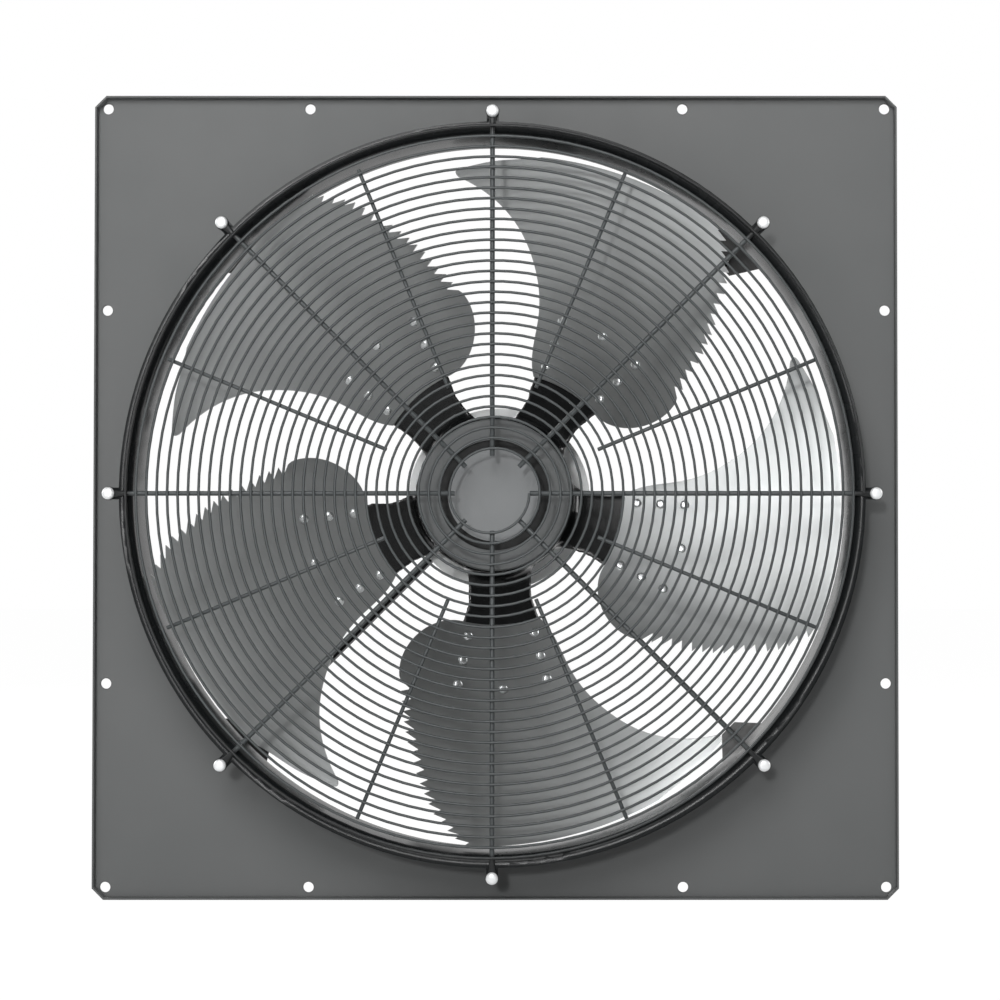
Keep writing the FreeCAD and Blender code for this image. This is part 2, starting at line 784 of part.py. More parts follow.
def make_impeller():
    low, high = -36.0, 45.0
    margin = 6.0
    thick = float(d.blade_thickness)
    gap = float(d.seat_gap)
    sheet_solid = blade_sheet(float(d.blade_root_radius) - margin, float(tip_radius) + margin,
                              low, high, 0.0, thick)
    blade = sheet_solid.common(prism(blade_outline()))
    arm_spread = ARM_FLARE[-1][1] * float(d.arm_half_angle) + margin
    arm_sheet = blade_sheet(float(d.bell_radius), float(arm_end_radius) + margin,
                            -arm_spread, arm_spread, thick + gap, float(d.arm_thickness))
    arm = arm_sheet.common(prism(arm_outline(ARM_FLARE)))

    rivets = []
    drills = []
    shank = float(d.rivet_shank_radius)
    for radius, degrees in rivet_places():
        here, into = surface_frame(radius, degrees)
        stack = (thick + gap + float(d.arm_thickness)) * into.y + 2 * gap
        rivet = rivet_shape(shank, stack, float(d.rivet_head_radius), float(d.rivet_head_height))
        rivet.Placement = FreeCAD.Placement(here - into * gap, FreeCAD.Rotation(Vector(0, 0, 1), into))
        rivets.append(rivet)
        drills.append(Part.makeCylinder(shank + gap, 4 * stack, here - into * (2 * stack), into))
    blade = blade.cut(drills).Solids[0]
    arm = arm.cut(drills)

    for k in range(BLADES):
        solid_feature("blade_%d" % (k + 1), about_axis(blade, FIRST_ARM_ANGLE + 360.0 * k / BLADES))
    solid_feature("blade_rivets", around(Part.makeCompound(rivets), BLADES, FIRST_ARM_ANGLE))

    inner = float(d.bell_radius + d.press_gap)
    outer = float(d.bell_radius + d.sleeve_wall)
    front = float(bell_front + d.sleeve_front_margin)
    rear = float(bell_rear - d.sleeve_rear_margin)
    sleeve = Part.makeCylinder(outer, rear - front, Vector(0, front, 0), Vector(0, 1, 0))
    arm = arm.fuse(hub_flare(front).common(prism(arm_outline(WEB_FLARE))))
    sleeve = sleeve.fuse([about_axis(arm, FIRST_ARM_ANGLE + 360.0 * k / BLADES) for k in range(BLADES)])
    bore = Part.makeCylinder(inner, 2 * (rear - front), Vector(0, 2 * front, 0), Vector(0, 1, 0))
    solid_feature("hub_spider", sleeve.cut(bore).Solids[0])


# Motor: an outer rotor turns about a stator that sits on the flange's bearing tube

def make_rotor():
    bell = new_body("rotor_bell", bell_front)
    boss = d.shaft_radius + d.circlip_lap
    depth = bell_rear - bell_front
    boss_end = front_bearing - bell_front - d.press_gap
    shaft_seat = d.bell_face / 2
    bore = d.shaft_radius + d.press_gap
    chamfer = d.bell_wall / 2
    turn(bell, [
        (0, 0), (d.groove_inner_radius, 0), (d.groove_inner_radius, d.groove_depth),
        (d.groove_outer_radius, d.groove_depth), (d.groove_outer_radius, chamfer / 2),
        (d.bell_radius - chamfer, chamfer / 2), (d.bell_radius, chamfer * 1.5),
        (d.bell_radius, depth), (bell_bore_radius, depth), (bell_bore_radius, d.bell_face),
        (boss, d.bell_face), (boss, boss_end), (bore, boss_end), (bore, shaft_seat), (0, shaft_seat)])
    ring("rotor_core", rotor_core_inner, bell_bore_radius - d.press_gap, core_front, core_rear)
    shaft_front = bell_front + shaft_seat + d.press_gap
    circlip_front = rear_bearing + d.bearing_width + d.seat_gap
    shaft_end = circlip_front + d.circlip_width * 2
    groove = d.shaft_radius - d.circlip_width / 2
    shaft = new_body("shaft", shaft_front)
    clip_start = circlip_front - shaft_front - d.press_gap
    clip_end = clip_start + d.circlip_width + d.press_gap * 2
    length = shaft_end - shaft_front
    turn(shaft, [
        (0, 0), (d.shaft_radius, 0), (d.shaft_radius, clip_start), (groove, clip_start),
        (groove, clip_end), (d.shaft_radius, clip_end), (d.shaft_radius, length), (0, length)])
    ring("shaft_circlip", groove + d.press_gap, d.shaft_radius + d.circlip_lap,
         circlip_front, circlip_front + d.circlip_width)


def make_bearing(place_name, front):
    """A deep-groove ball bearing: two races, the balls and their cage."""
    rear = front + d.bearing_width
    middle = front + d.bearing_width / 2
    groove = doc.addObject("Part::Torus", "groove_" + place_name)
    bind(groove, Radius1=d.bearing_pitch_radius, Radius2=d.ball_radius + d.ball_clear)
    groove.Placement = FreeCAD.Placement(Vector(), FreeCAD.Rotation(Vector(1, 0, 0), -90))
    place(groove, y=middle)
    limits = {
        "inner": (d.shaft_radius + d.press_gap, d.bearing_pitch_radius - d.race_gap_half),
        "outer": (d.bearing_pitch_radius + d.race_gap_half, d.bearing_outer_radius - d.press_gap)}
    for race, (low, high) in limits.items():
        name = "bearing_%s_%s" % (place_name, race)
        hole = rod(name + "_hole", low, d.bearing_width, y=front)
        blank = cut(name + "_blank", rod(name + "_disc", high, d.bearing_width, y=front), hole)
        keep(cut(name + "_race", blank, groove), name)
    pitch = float(d.bearing_pitch_radius)
    centre = Vector(pitch, float(middle), 0)
    ball = Part.makeSphere(float(d.ball_radius), centre)
    solid_feature("bearing_%s_balls" % place_name, around(ball, BALLS))
    half = float(d.cage_half_width)
    start = Vector(0, float(middle - d.cage_length / 2), 0)
    cage = Part.makeCylinder(pitch + half, float(d.cage_length), start, Vector(0, 1, 0))
    cage = cage.cut(Part.makeCylinder(pitch - half, float(d.cage_length), start, Vector(0, 1, 0)))
    pocket = Part.makeCylinder(float(d.ball_radius) + float(d.ball_clear), 4 * half,
                               centre - Vector(2 * half, 0, 0), Vector(1, 0, 0))
    solid_feature("bearing_%s_cage" % place_name, cage.cut(around(pocket, BALLS).Solids))


def make_stator():
    blank = doc.addObject("PartDesign::Body", "flange_blank")
    place(blank, y=tube_front)
    front = flange_front - tube_front
    rear = flange_rear - tube_front
    bottom = bore_end - tube_front
    chamfer = d.flange_wall / 2
    turn(blank, [
        (d.bearing_outer_radius, 0), (tube_radius, 0), (tube_radius, front), (d.flange_radius, front),
        (d.flange_radius, rear - chamfer), (d.flange_radius - chamfer, rear), (0, rear), (0, bottom),
        (d.bearing_outer_radius, bottom)])
    drill_depth = d.motor_bolt_grip + d.thread_end
    drill_start = flange_rear - drill_depth
    drill_radius = d.motor_bolt_dia / 2 + d.seat_gap
    drills = [rod("flange_drill_%d" % k, drill_radius, drill_depth, x, drill_start, z)
              for k, (x, z) in enumerate(cross_places(d.motor_bolt_circle))]
    keep(cut("flange_drilled", blank, gathered("flange_drills", drills)), "stator_flange")
    ring("stator_core", tube_radius + d.press_gap, stator_radius, core_front, core_rear)
    winding_inner = tube_radius + d.winding_margin
    winding_outer = stator_radius - d.winding_margin
    ring("stator_winding_front", winding_inner, winding_outer,
         core_front - d.winding_depth, core_front - d.seat_gap)
    ring("stator_winding_rear", winding_inner, winding_outer,
         core_rear + d.seat_gap, core_rear + d.winding_depth)
    ring("preload_washer", d.bearing_pitch_radius + d.race_gap_half, d.bearing_outer_radius - d.hole_gap,
         rear_bearing + d.bearing_width + d.seat_gap, bore_end - d.seat_gap)


# Support: four struts carry the motor's mounting disc from weld studs on the plate's rear face

def make_mount_disc():
    body = new_body("motor_mount_disc", flange_rear + d.seat_gap)
    base = new_sketch(body, "XZ_Plane", "mount_disc_outline")
    round_hole(base, 0, 0, mount_disc_radius)
    for x, z in cross_places(d.motor_bolt_circle):
        round_hole(base, x, z, d.motor_bolt_dia / 2 + d.hole_gap)
    pad(body, base, d.mount_disc_sheet - d.seat_gap * 2)
    bolt = dome_screw(float(d.motor_bolt_dia) / 2, float(d.mount_disc_sheet + d.motor_bolt_grip),
                      float(d.bolt_head_radius), float(d.bolt_head_height) / 2)
    bolt.rotate(Vector(), Vector(1, 0, 0), 90)
    bolt.translate(Vector(float(d.motor_bolt_circle), float(mount_disc_rear), 0))
    solid_feature("motor_bolts", around(bolt, MOTOR_BOLTS))


def strut_shift(k):
    """The first strut and the one opposite stand off the axis, both to the same side."""
    return d.strut_offset * round(math.cos(2 * math.pi * k / STRUTS))


def make_supports():
    leg_top = foot_radius - d.foot_lean
    stud_radius = foot_radius + d.foot_stud_inset
    for k in range(STRUTS):
        tag = "_%d" % (k + 1)
        middle = strut_shift(k)
        bar = box("strut_bar" + tag, leg_top - d.strut_inner_radius, d.strut_depth - d.seat_gap,
                  d.strut_width, d.strut_inner_radius, mount_disc_rear + d.seat_gap,
                  middle - d.strut_width / 2)
        leg = doc.addObject("Part::Wedge", "strut_leg" + tag)
        bind(leg, Xmin=foot_radius, Xmax=foot_radius + d.foot_sheet, Ymin=d.seat_gap, Ymax=strut_rear,
             Zmin=middle - d.foot_width / 2, Zmax=middle + d.foot_width / 2,
             X2min=leg_top - d.foot_sheet / 2, X2max=leg_top + d.foot_sheet / 2,
             Z2min=middle - d.foot_end_width / 2, Z2max=middle + d.foot_end_width / 2)
        base = box("strut_base" + tag, d.foot_length, d.foot_sheet, d.foot_width,
                   foot_radius, d.seat_gap, middle - d.foot_width / 2)
        drills = []
        for side in (1, -1):
            z = middle + d.foot_stud_pitch / 2 * side
            drills.append(rod("strut_drill%s_%d" % (tag, side), d.foot_stud_dia / 2 + d.hole_gap,
                              d.foot_sheet * 3, stud_radius, -d.foot_sheet, z))
        whole = cut("strut" + tag, fused("strut_blank" + tag, [bar, leg, base]),
                    gathered("strut_drills" + tag, drills))
        turn_by = FIRST_STRUT_ANGLE + 360.0 * k / STRUTS
        whole.Placement = FreeCAD.Placement(Vector(), FreeCAD.Rotation(Vector(0, -1, 0), turn_by))
        keep(whole, "support_strut" + tag)

    studs = []
    nuts = []
    seat = float(d.seat_gap * 2 + d.foot_sheet)
    length = seat + float(d.foot_nut_height + d.thread_end)
    radius = float(d.foot_stud_dia) / 2
    for k in range(STRUTS):
        turn_by = FIRST_STRUT_ANGLE + 360.0 * k / STRUTS
        for side in (1, -1):
            spot = Vector(float(stud_radius), 0, float(strut_shift(k) + d.foot_stud_pitch / 2 * side))
            start = spot + Vector(0, float(d.press_gap), 0)
            studs.append(about_axis(Part.makeCylinder(radius, length, start, Vector(0, 1, 0)), turn_by))
            nut = hex_nut(float(d.foot_nut_width), float(d.foot_nut_height), radius + float(d.seat_gap))
            nut.translate(spot + Vector(0, seat, 0))
            nuts.append(about_axis(nut, turn_by))
    solid_feature("foot_studs", Part.makeCompound(studs))
    solid_feature("foot_nuts", Part.makeCompound(nuts))


# Terminal box on the mounting disc, with its lid and cable gland

def rounded_square(sketch, half, corner):
    flat = half - corner
    points = [(flat, -half), (half, -flat), (half, flat), (flat, half),
              (-flat, half), (-half, flat), (-half, -flat), (-flat, -half)]
    outline(sketch, points, {k: (corner, 1) for k in (0, 2, 4, 6)})


def box_layer(label, half, front, depth, opening=None, screw_radius=None):
    """One layer of the terminal box: a rounded square sheet or frame with its corner holes."""
    body = new_body(label, front)
    shape = new_sketch(body, "XZ_Plane", label + "_outline")
    rounded_square(shape, half, d.box_corner)
    if opening is not None:
        rounded_square(shape, opening, d.lid_screw_inset * 2 + d.lid_screw_dia / 2)
    if screw_radius is not None:
        for _, x, z in corner_places(half - d.lid_screw_inset):
            round_hole(shape, x, z, screw_radius)
    pad(body, shape, depth)
    return body


def make_terminal_box():
    half = d.box_width / 2
    inside = half - d.box_wall
    start = mount_disc_rear + d.seat_gap
    outer = doc.addObject("PartDesign::Body", "box_outer")
    place(outer, y=start)
    shell = new_sketch(outer, "XZ_Plane", "box_shell")
    rounded_square(shell, half, d.box_corner)
    pad(outer, shell, d.box_depth - d.seat_gap)
    hollow = box("box_hollow", inside * 2, d.box_depth, inside * 2, -inside, start + d.box_wall, -inside)
    posts = []
    holes = []
    corners = corner_places(half - d.lid_screw_inset)
    post_radius = d.lid_screw_inset - d.press_gap
    hole_radius = d.lid_screw_dia / 2 + d.seat_gap
    for tag, x, z in corners:
        posts.append(rod("box_post" + tag, post_radius, d.box_depth - d.seat_gap, x, start, z))
        holes.append(rod("box_hole" + tag, hole_radius, d.box_depth, x, start + d.box_wall, z))
    entry = doc.addObject("Part::Cylinder", "box_entry")
    bind(entry, Radius=d.gland_dia / 2 + d.hole_gap, Height=d.box_wall * 3)
    place(entry, y=start + d.box_depth / 2, z=-half - d.box_wall)
    walls = cut("box_walls", outer, hollow)
    whole = fused("box_whole", [walls] + posts)
    keep(cut("box_cut", whole, gathered("box_holes", holes + [entry])), "terminal_box")
    box_layer("box_gasket", half, box_rear + d.seat_gap, d.gasket_thickness - d.seat_gap * 2,
              inside - d.box_wall, d.lid_screw_dia / 2 + d.hole_gap)
    box_layer("box_lid", half, gasket_rear, d.lid_thickness, None, d.lid_screw_dia / 2 + d.hole_gap)
    lid_rear = gasket_rear + d.lid_thickness
    screw = dome_screw(float(d.lid_screw_dia) / 2, float(lid_rear - start) - float(d.box_wall) * 2,
                       float(d.lid_screw_head), float(d.lid_screw_head) / 2)
    screw.rotate(Vector(), Vector(1, 0, 0), 90)
    screw.translate(Vector(0, float(lid_rear + d.seat_gap), 0))
    screws = [screw.translated(Vector(float(x), 0, float(z))) for _, x, z in corners]
    solid_feature("lid_screws", Part.makeCompound(screws))
    block = box("block", d.block_length, d.block_height, d.block_width,
                -d.block_length / 2, start + d.box_wall + d.seat_gap, -d.block_width / 2)
    keep(block, "terminal_block")

    make_gland(half, start + d.box_depth / 2)


def make_gland(half, gland_y):
    """A threaded body through the box wall, a clamping nut and a rubber seal."""
    wall_face = -float(half) - float(d.seat_gap)
    centre = Vector(0, float(gland_y), 0)
    thread = float(d.gland_dia) / 2
    bore = float(d.gland_bore) / 2
    collar = float(d.gland_collar_dia) / 2
    down = Vector(0, 0, -1)
    body = Part.makeCylinder(collar, float(d.gland_length) / 2, centre + Vector(0, 0, wall_face), down)
    inner_end = centre + Vector(0, 0, wall_face + 2 * float(d.box_wall))
    length = float(d.gland_length) + 2 * float(d.box_wall)
    body = body.fuse(Part.makeCylinder(thread, length, inner_end, down))
    seal_radius = (thread + bore) / 2
    body = body.cut(Part.makeCylinder(seal_radius, 4 * float(d.gland_length), inner_end, down))
    solid_feature("gland_body", body)
    nut_start = centre + Vector(0, 0, wall_face - float(d.gland_length) / 2 - float(d.seat_gap))
    hexagon = [nut_start + Vector(math.cos(a), math.sin(a), 0) * (float(d.gland_nut_dia) / 2)
               for a in [math.radians(60 * k) for k in range(6)]]
    nut = Part.Face(Part.makePolygon(hexagon + hexagon[:1])).extrude(down * float(d.gland_nut_length))
    cavity = float(d.gland_length) / 2 + float(d.seat_gap)
    nut = nut.cut([Part.makeCylinder(thread + float(d.seat_gap), cavity, nut_start, down),
                   Part.makeCylinder(bore, float(d.gland_nut_length), nut_start, down)])
    solid_feature("gland_nut", nut)
    seal_length = float(d.gland_length) + float(d.box_wall)
    seal = Part.makeCylinder(seal_radius - float(d.press_gap), seal_length, inner_end, down)
    solid_feature("gland_seal", seal.cut(Part.makeCylinder(bore, seal_length, inner_end, down)))


make_wall_plate()
make_nozzle()
make_guard()
make_impeller()
make_rotor()
make_bearing("front", front_bearing)
make_bearing("rear", rear_bearing)
make_stator()
make_mount_disc()
make_supports()
make_terminal_box()
doc.recompute()

failed = [o.Label for o in doc.Objects if "Invalid" in o.State or "Error" in o.State]
for part in parts:
    if part.Shape.isNull() or not part.Shape.isValid() or not part.Shape.Solids:
        failed.append(part.Label + " has no valid shape")
if failed:
    raise RuntimeError("not built: " + ", ".join(failed))
os.makedirs("parts", exist_ok=True)
for part in parts:
    part.Shape.exportStep("parts/%s.step" % part.Label)
    print("%-24s solids %2d  volume %12.1f" % (part.Label, len(part.Shape.Solids), part.Shape.Volume))
print("%d sub-parts" % len(parts))
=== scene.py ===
# %% [markdown]
# # A wall-plate axial fan
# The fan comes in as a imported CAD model: every node is in metres, with +Z up and the guard towards
# -Y. Nothing in that frame is moved. This script dresses it: it paints the solids that already have
# the right shape, and puts finer pieces over those that are too plain.

# %% Load the frame
import json
import math

import bmesh
import bpy
from mathutils import Matrix, Vector

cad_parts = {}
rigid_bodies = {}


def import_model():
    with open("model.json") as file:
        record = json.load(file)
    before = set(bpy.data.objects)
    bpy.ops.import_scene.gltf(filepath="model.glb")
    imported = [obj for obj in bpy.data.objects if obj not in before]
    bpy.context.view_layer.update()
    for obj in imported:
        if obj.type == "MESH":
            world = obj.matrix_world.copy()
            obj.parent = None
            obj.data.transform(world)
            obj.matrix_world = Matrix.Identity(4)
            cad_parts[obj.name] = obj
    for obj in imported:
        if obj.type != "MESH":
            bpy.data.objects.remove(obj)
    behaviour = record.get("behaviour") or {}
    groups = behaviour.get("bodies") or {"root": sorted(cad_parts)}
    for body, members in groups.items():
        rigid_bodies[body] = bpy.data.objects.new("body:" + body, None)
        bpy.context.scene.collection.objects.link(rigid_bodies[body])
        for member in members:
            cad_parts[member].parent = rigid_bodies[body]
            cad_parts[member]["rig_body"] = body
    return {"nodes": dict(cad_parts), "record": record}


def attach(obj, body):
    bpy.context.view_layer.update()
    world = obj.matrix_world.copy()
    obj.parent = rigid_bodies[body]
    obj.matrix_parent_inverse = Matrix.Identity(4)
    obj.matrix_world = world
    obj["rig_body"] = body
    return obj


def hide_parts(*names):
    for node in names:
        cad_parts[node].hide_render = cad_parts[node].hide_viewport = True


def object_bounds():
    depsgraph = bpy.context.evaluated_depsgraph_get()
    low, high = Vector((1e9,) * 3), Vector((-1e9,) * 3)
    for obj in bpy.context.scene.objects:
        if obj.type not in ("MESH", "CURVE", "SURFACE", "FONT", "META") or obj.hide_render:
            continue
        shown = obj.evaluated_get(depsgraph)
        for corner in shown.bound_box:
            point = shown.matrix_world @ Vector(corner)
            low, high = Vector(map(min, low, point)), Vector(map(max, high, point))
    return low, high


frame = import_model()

cad_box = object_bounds()
nodes = frame["nodes"]
slot_of = {row["node"]: row["material_slot"] for row in frame["record"]["subparts"]}
body_of = {name: node["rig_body"] for name, node in nodes.items()}
scene = bpy.context.scene
scene.view_settings.view_transform = "Standard"
MM = 0.001

# %% [markdown]
# ## Camera
# The picture was taken almost square on to the plate with a moderate lens, from a little right of
# the axis and a little below it. That shows in the near rim, which sits left of and above the far
# edge of the nozzle. The camera keeps its back parallel to the plate, but for a tilt of less than a
# degree, and needs a lens shift to bring the plate to the middle. The other way, turning the
# camera, would make the plate's upright edges differ in height.

# %% Camera
IMAGE_PX = 1000
SENSOR_MM = 36.0
FOCAL_PX = 1686.0
EYE = Vector((0.090, -1.790, -0.080))
TILT_UP = math.radians(0.9)
PLATE_CENTRE_PX = (496.1, 496.8)

camera_data = bpy.data.cameras.new("photo_camera")
camera_data.sensor_width = SENSOR_MM
camera_data.lens = FOCAL_PX / IMAGE_PX * SENSOR_MM
camera = bpy.data.objects.new("photo_camera", camera_data)
scene.collection.objects.link(camera)
camera.location = EYE
camera.rotation_euler = (math.radians(90) + TILT_UP, 0, 0)
scene.camera = camera

bpy.context.view_layer.update()
origin_seen = camera.matrix_world.inverted() @ Vector((0, 0, 0))
unshifted_px = (IMAGE_PX / 2 + FOCAL_PX * origin_seen.x / -origin_seen.z,
                IMAGE_PX / 2 - FOCAL_PX * origin_seen.y / -origin_seen.z)
camera_data.shift_x = (unshifted_px[0] - PLATE_CENTRE_PX[0]) / IMAGE_PX
camera_data.shift_y = (PLATE_CENTRE_PX[1] - unshifted_px[1]) / IMAGE_PX
print("camera: lens %.1f mm, shift %.3f %.3f"
      % (camera_data.lens, camera_data.shift_x, camera_data.shift_y))

# %% [markdown]
# ## Colours and nodes
# Finishes are given as sRGB hex values, as a paint card would give them, and one function turns
# them into the linear values that the shader works in. A second function adds any node with its
# settings and links, and a third gives a texture its scale from the size of its pattern on the real
# thing.

# %% Colour and node helpers
def linear(hex_colour):
    """An sRGB hex colour as linear red, green, blue and alpha."""
    shares = [int(hex_colour[k:k + 2], 16) / 255 for k in (1, 3, 5)]
    curve = [c / 12.92 if c <= 0.04045 else ((c + 0.055) / 1.055) ** 2.4 for c in shares]
    return tuple(curve) + (1.0,)


def add_node(tree, kind, settings=(), inputs=(), **sockets):
    """Add a node, set its properties, and set or link its sockets by place or by name."""
    node = tree.nodes.new(kind)
    for name, value in dict(settings).items():
        setattr(node, name, value)
    wanted = list(zip(node.inputs, inputs))
    wanted += [(node.inputs[name.replace("_", " ")], value) for name, value in sockets.items()]
    for socket, value in wanted:
        if isinstance(value, bpy.types.NodeSocket):
            tree.links.new(value, socket)
        else:
            socket.default_value = value
    return node


def per_metre(size_mm):
    """The texture scale that gives a pattern of this size."""
    return 1.0 / (size_mm * MM)


print("white paper is", linear("#ffffff"))

# %% [markdown]
# ## Background
# The object stands before plain white on a white floor. The camera, mirror-like surfaces and
# anything seen through see the backdrop as white through the Light Path node, while the light that
# reaches the object from the room stays dim. The room in front of the object is dark, as a studio
# is: that is what keeps black gloss paint black. A brighter room would be simpler and would turn
# all gloss paint grey. A mirrored ray sees the white backdrop only where it heads away behind the
# object.

# %% World
ROOM_LOW, ROOM_HIGH = 0.06, 0.15
ROOM_BAND = 0.8
BACKDROP_FROM, BACKDROP_FULL = 0.85, 0.97


def share_of_white(tree, behind):
    """The share of white that a ray sees: all for the camera, only behind the object for mirrors."""
    ray = add_node(tree, "ShaderNodeLightPath").outputs
    mirrored = add_node(tree, "ShaderNodeMath", {"operation": "MULTIPLY"},
                        (ray["Is Glossy Ray"], behind)).outputs[0]
    direct = add_node(tree, "ShaderNodeMath", {"operation": "MAXIMUM"},
                      (ray["Is Camera Ray"], ray["Is Transmission Ray"])).outputs[0]
    return add_node(tree, "ShaderNodeMath", {"operation": "MAXIMUM"}, (direct, mirrored)).outputs[0]


world = bpy.data.worlds.new("studio")
world.use_nodes = True
scene.world = world
tree = world.node_tree
tree.nodes.clear()
heading = add_node(tree, "ShaderNodeSeparateXYZ",
                   Vector=add_node(tree, "ShaderNodeTexCoord").outputs["Generated"]).outputs
backdrop = add_node(tree, "ShaderNodeMapRange", Value=heading["Y"],
                    From_Min=BACKDROP_FROM, From_Max=BACKDROP_FULL).outputs[0]
room = add_node(tree, "ShaderNodeMapRange", Value=heading["Z"],
                From_Min=-ROOM_BAND, From_Max=ROOM_BAND,
                To_Min=ROOM_LOW, To_Max=ROOM_HIGH).outputs[0]
level = add_node(tree, "ShaderNodeMapRange", Value=share_of_white(tree, backdrop),
                 To_Min=room, To_Max=1.0).outputs[0]
sky = add_node(tree, "ShaderNodeBackground", Color=linear("#ffffff"), Strength=level)
add_node(tree, "ShaderNodeOutputWorld", Surface=sky.outputs[0])
print("room light from %.2f low to %.2f high" % (ROOM_LOW, ROOM_HIGH))

# %% [markdown]
# ## Lamps
# Two things can be read from the photograph. The guard's wires throw thin, sharp shadows on the
# motor, a few millimetres to the right and down, so a small lamp stands just left of and above the
# lens. And one blade is almost white, while the same paint is dark on the others. That blade leans
# back: what the camera sees mirrored in it lies 9 degrees left of the fan's axis and 32 above it,
# so the wide soft box hangs there. Weak ones at both sides of the lens give other blades their
# lighter halves. One behind and two in line with the plate serve the views from other sides: the
# plate's front doesn't see them.

# %% Lamps
def soft_box(name, place, width, height, watts):
    """An area lamp that faces the fan, with its width and height in metres."""
    lamp = bpy.data.lights.new(name, "AREA")
    lamp.shape = "RECTANGLE"
    lamp.size = width
    lamp.size_y = height
    lamp.energy = watts
    holder = bpy.data.objects.new(name, lamp)
    scene.collection.objects.link(holder)
    holder.location = place
    holder.rotation_euler = (-Vector(place)).to_track_quat("-Z", "Y").to_euler()
    print(name, "%.1f m away, %.1f W" % (Vector(place).length, watts))


soft_box("lens_lamp", (-0.30, -3.0, 0.42), 0.20, 0.20, 24)
soft_box("key_box", (-0.37, -2.35, 1.48), 1.3, 1.7, 46)
soft_box("left_fill", (-1.80, -2.39, 0.10), 0.9, 0.9, 2.5)
soft_box("right_fill", (1.16, -2.61, 0.93), 0.9, 0.9, 4)
soft_box("rear_box", (-1.3, 2.4, 1.5), 1.4, 1.4, 34)
soft_box("right_side", (2.8, 0.35, 0.9), 1.2, 1.2, 24)
soft_box("left_side", (-2.8, 0.35, 0.9), 1.2, 1.2, 24)

# %% [markdown]
# ## Floor
# A paper floor lies under the plate. For the camera it glows as bright as the backdrop, so that its
# far edge can't be told from the background. A small share of its brightness still comes from the
# lamps, so that the object's shadow falls on it. Mirror-like surfaces see that glow behind the
# object. In front of it they see plain paper under the lamps.

# %% Floor
FLOOR_GLOW = 0.93
GLOW_STRENGTH = 1.06
FLOOR_HALF = 14.0
BEHIND_FROM, BEHIND_FULL = -0.3, 0.2
mesh = bpy.data.meshes.new("floor")
shape = bmesh.new()
bmesh.ops.create_grid(shape, x_segments=1, y_segments=1, size=FLOOR_HALF)
bmesh.ops.translate(shape, verts=shape.verts, vec=(0, 0, cad_box[0].z))
shape.to_mesh(mesh)
shape.free()
floor = bpy.data.objects.new("floor", mesh)
scene.collection.objects.link(floor)
material = bpy.data.materials.new("white_paper")
material.use_nodes = True
mesh.materials.append(material)
tree = material.node_tree
tree.nodes.clear()
spot = add_node(tree, "ShaderNodeSeparateXYZ",
                Vector=add_node(tree, "ShaderNodeTexCoord").outputs["Object"]).outputs
behind = add_node(tree, "ShaderNodeMapRange", Value=spot["Y"],
                  From_Min=BEHIND_FROM, From_Max=BEHIND_FULL).outputs[0]
share = add_node(tree, "ShaderNodeMapRange", Value=share_of_white(tree, behind),
                 To_Max=FLOOR_GLOW).outputs[0]
paper = add_node(tree, "ShaderNodeBsdfDiffuse", Color=linear("#d8d8d8")).outputs[0]
glow = add_node(tree, "ShaderNodeEmission", Color=linear("#ffffff"),
                Strength=GLOW_STRENGTH).outputs[0]
blend = add_node(tree, "ShaderNodeMixShader", (), (share, paper, glow)).outputs[0]
add_node(tree, "ShaderNodeOutputMaterial", Surface=blend)
print("floor at z = %.3f" % cad_box[0].z)

# %% [markdown]
# ## A recipe for coatings
# Most of this fan is sheet and wire under a coating. A coating has four things to see: its colour
# drifts a little over a hand's width, its gloss is uneven where it was sprayed or handled, its
# surface ripples like orange peel, and along an edge a line of another shade shows. On the struts
# and the terminal box that line is paler wear, where the coating is thin; on the plate it is painted
# shade, darker along the folds and hole rims where the bends fall into shade. One recipe makes the
# first three from noise at real sizes: the ripple of a real coating is one to four millimetres wide
# and a few hundredths high. An edge is found with the Bevel node, whose rounded normal leans away
# from the flat one there. A Mix node's colour sockets share their names with others, so they are
# taken by place.

# %% Coating recipe
finishes = {}
COLOUR_DETAIL, GLOSS_DETAIL, PEEL_DETAIL = 4.0, 6.0, 2.0
SMEARS_PER_PATCH = 5
GLOSS_BAND = (0.3, 0.7)
EDGE_BAND = (0.97, 0.80)
EDGE_SAMPLES = 4
MIX_FIRST, MIX_SECOND, MIX_RESULT = 6, 7, 2


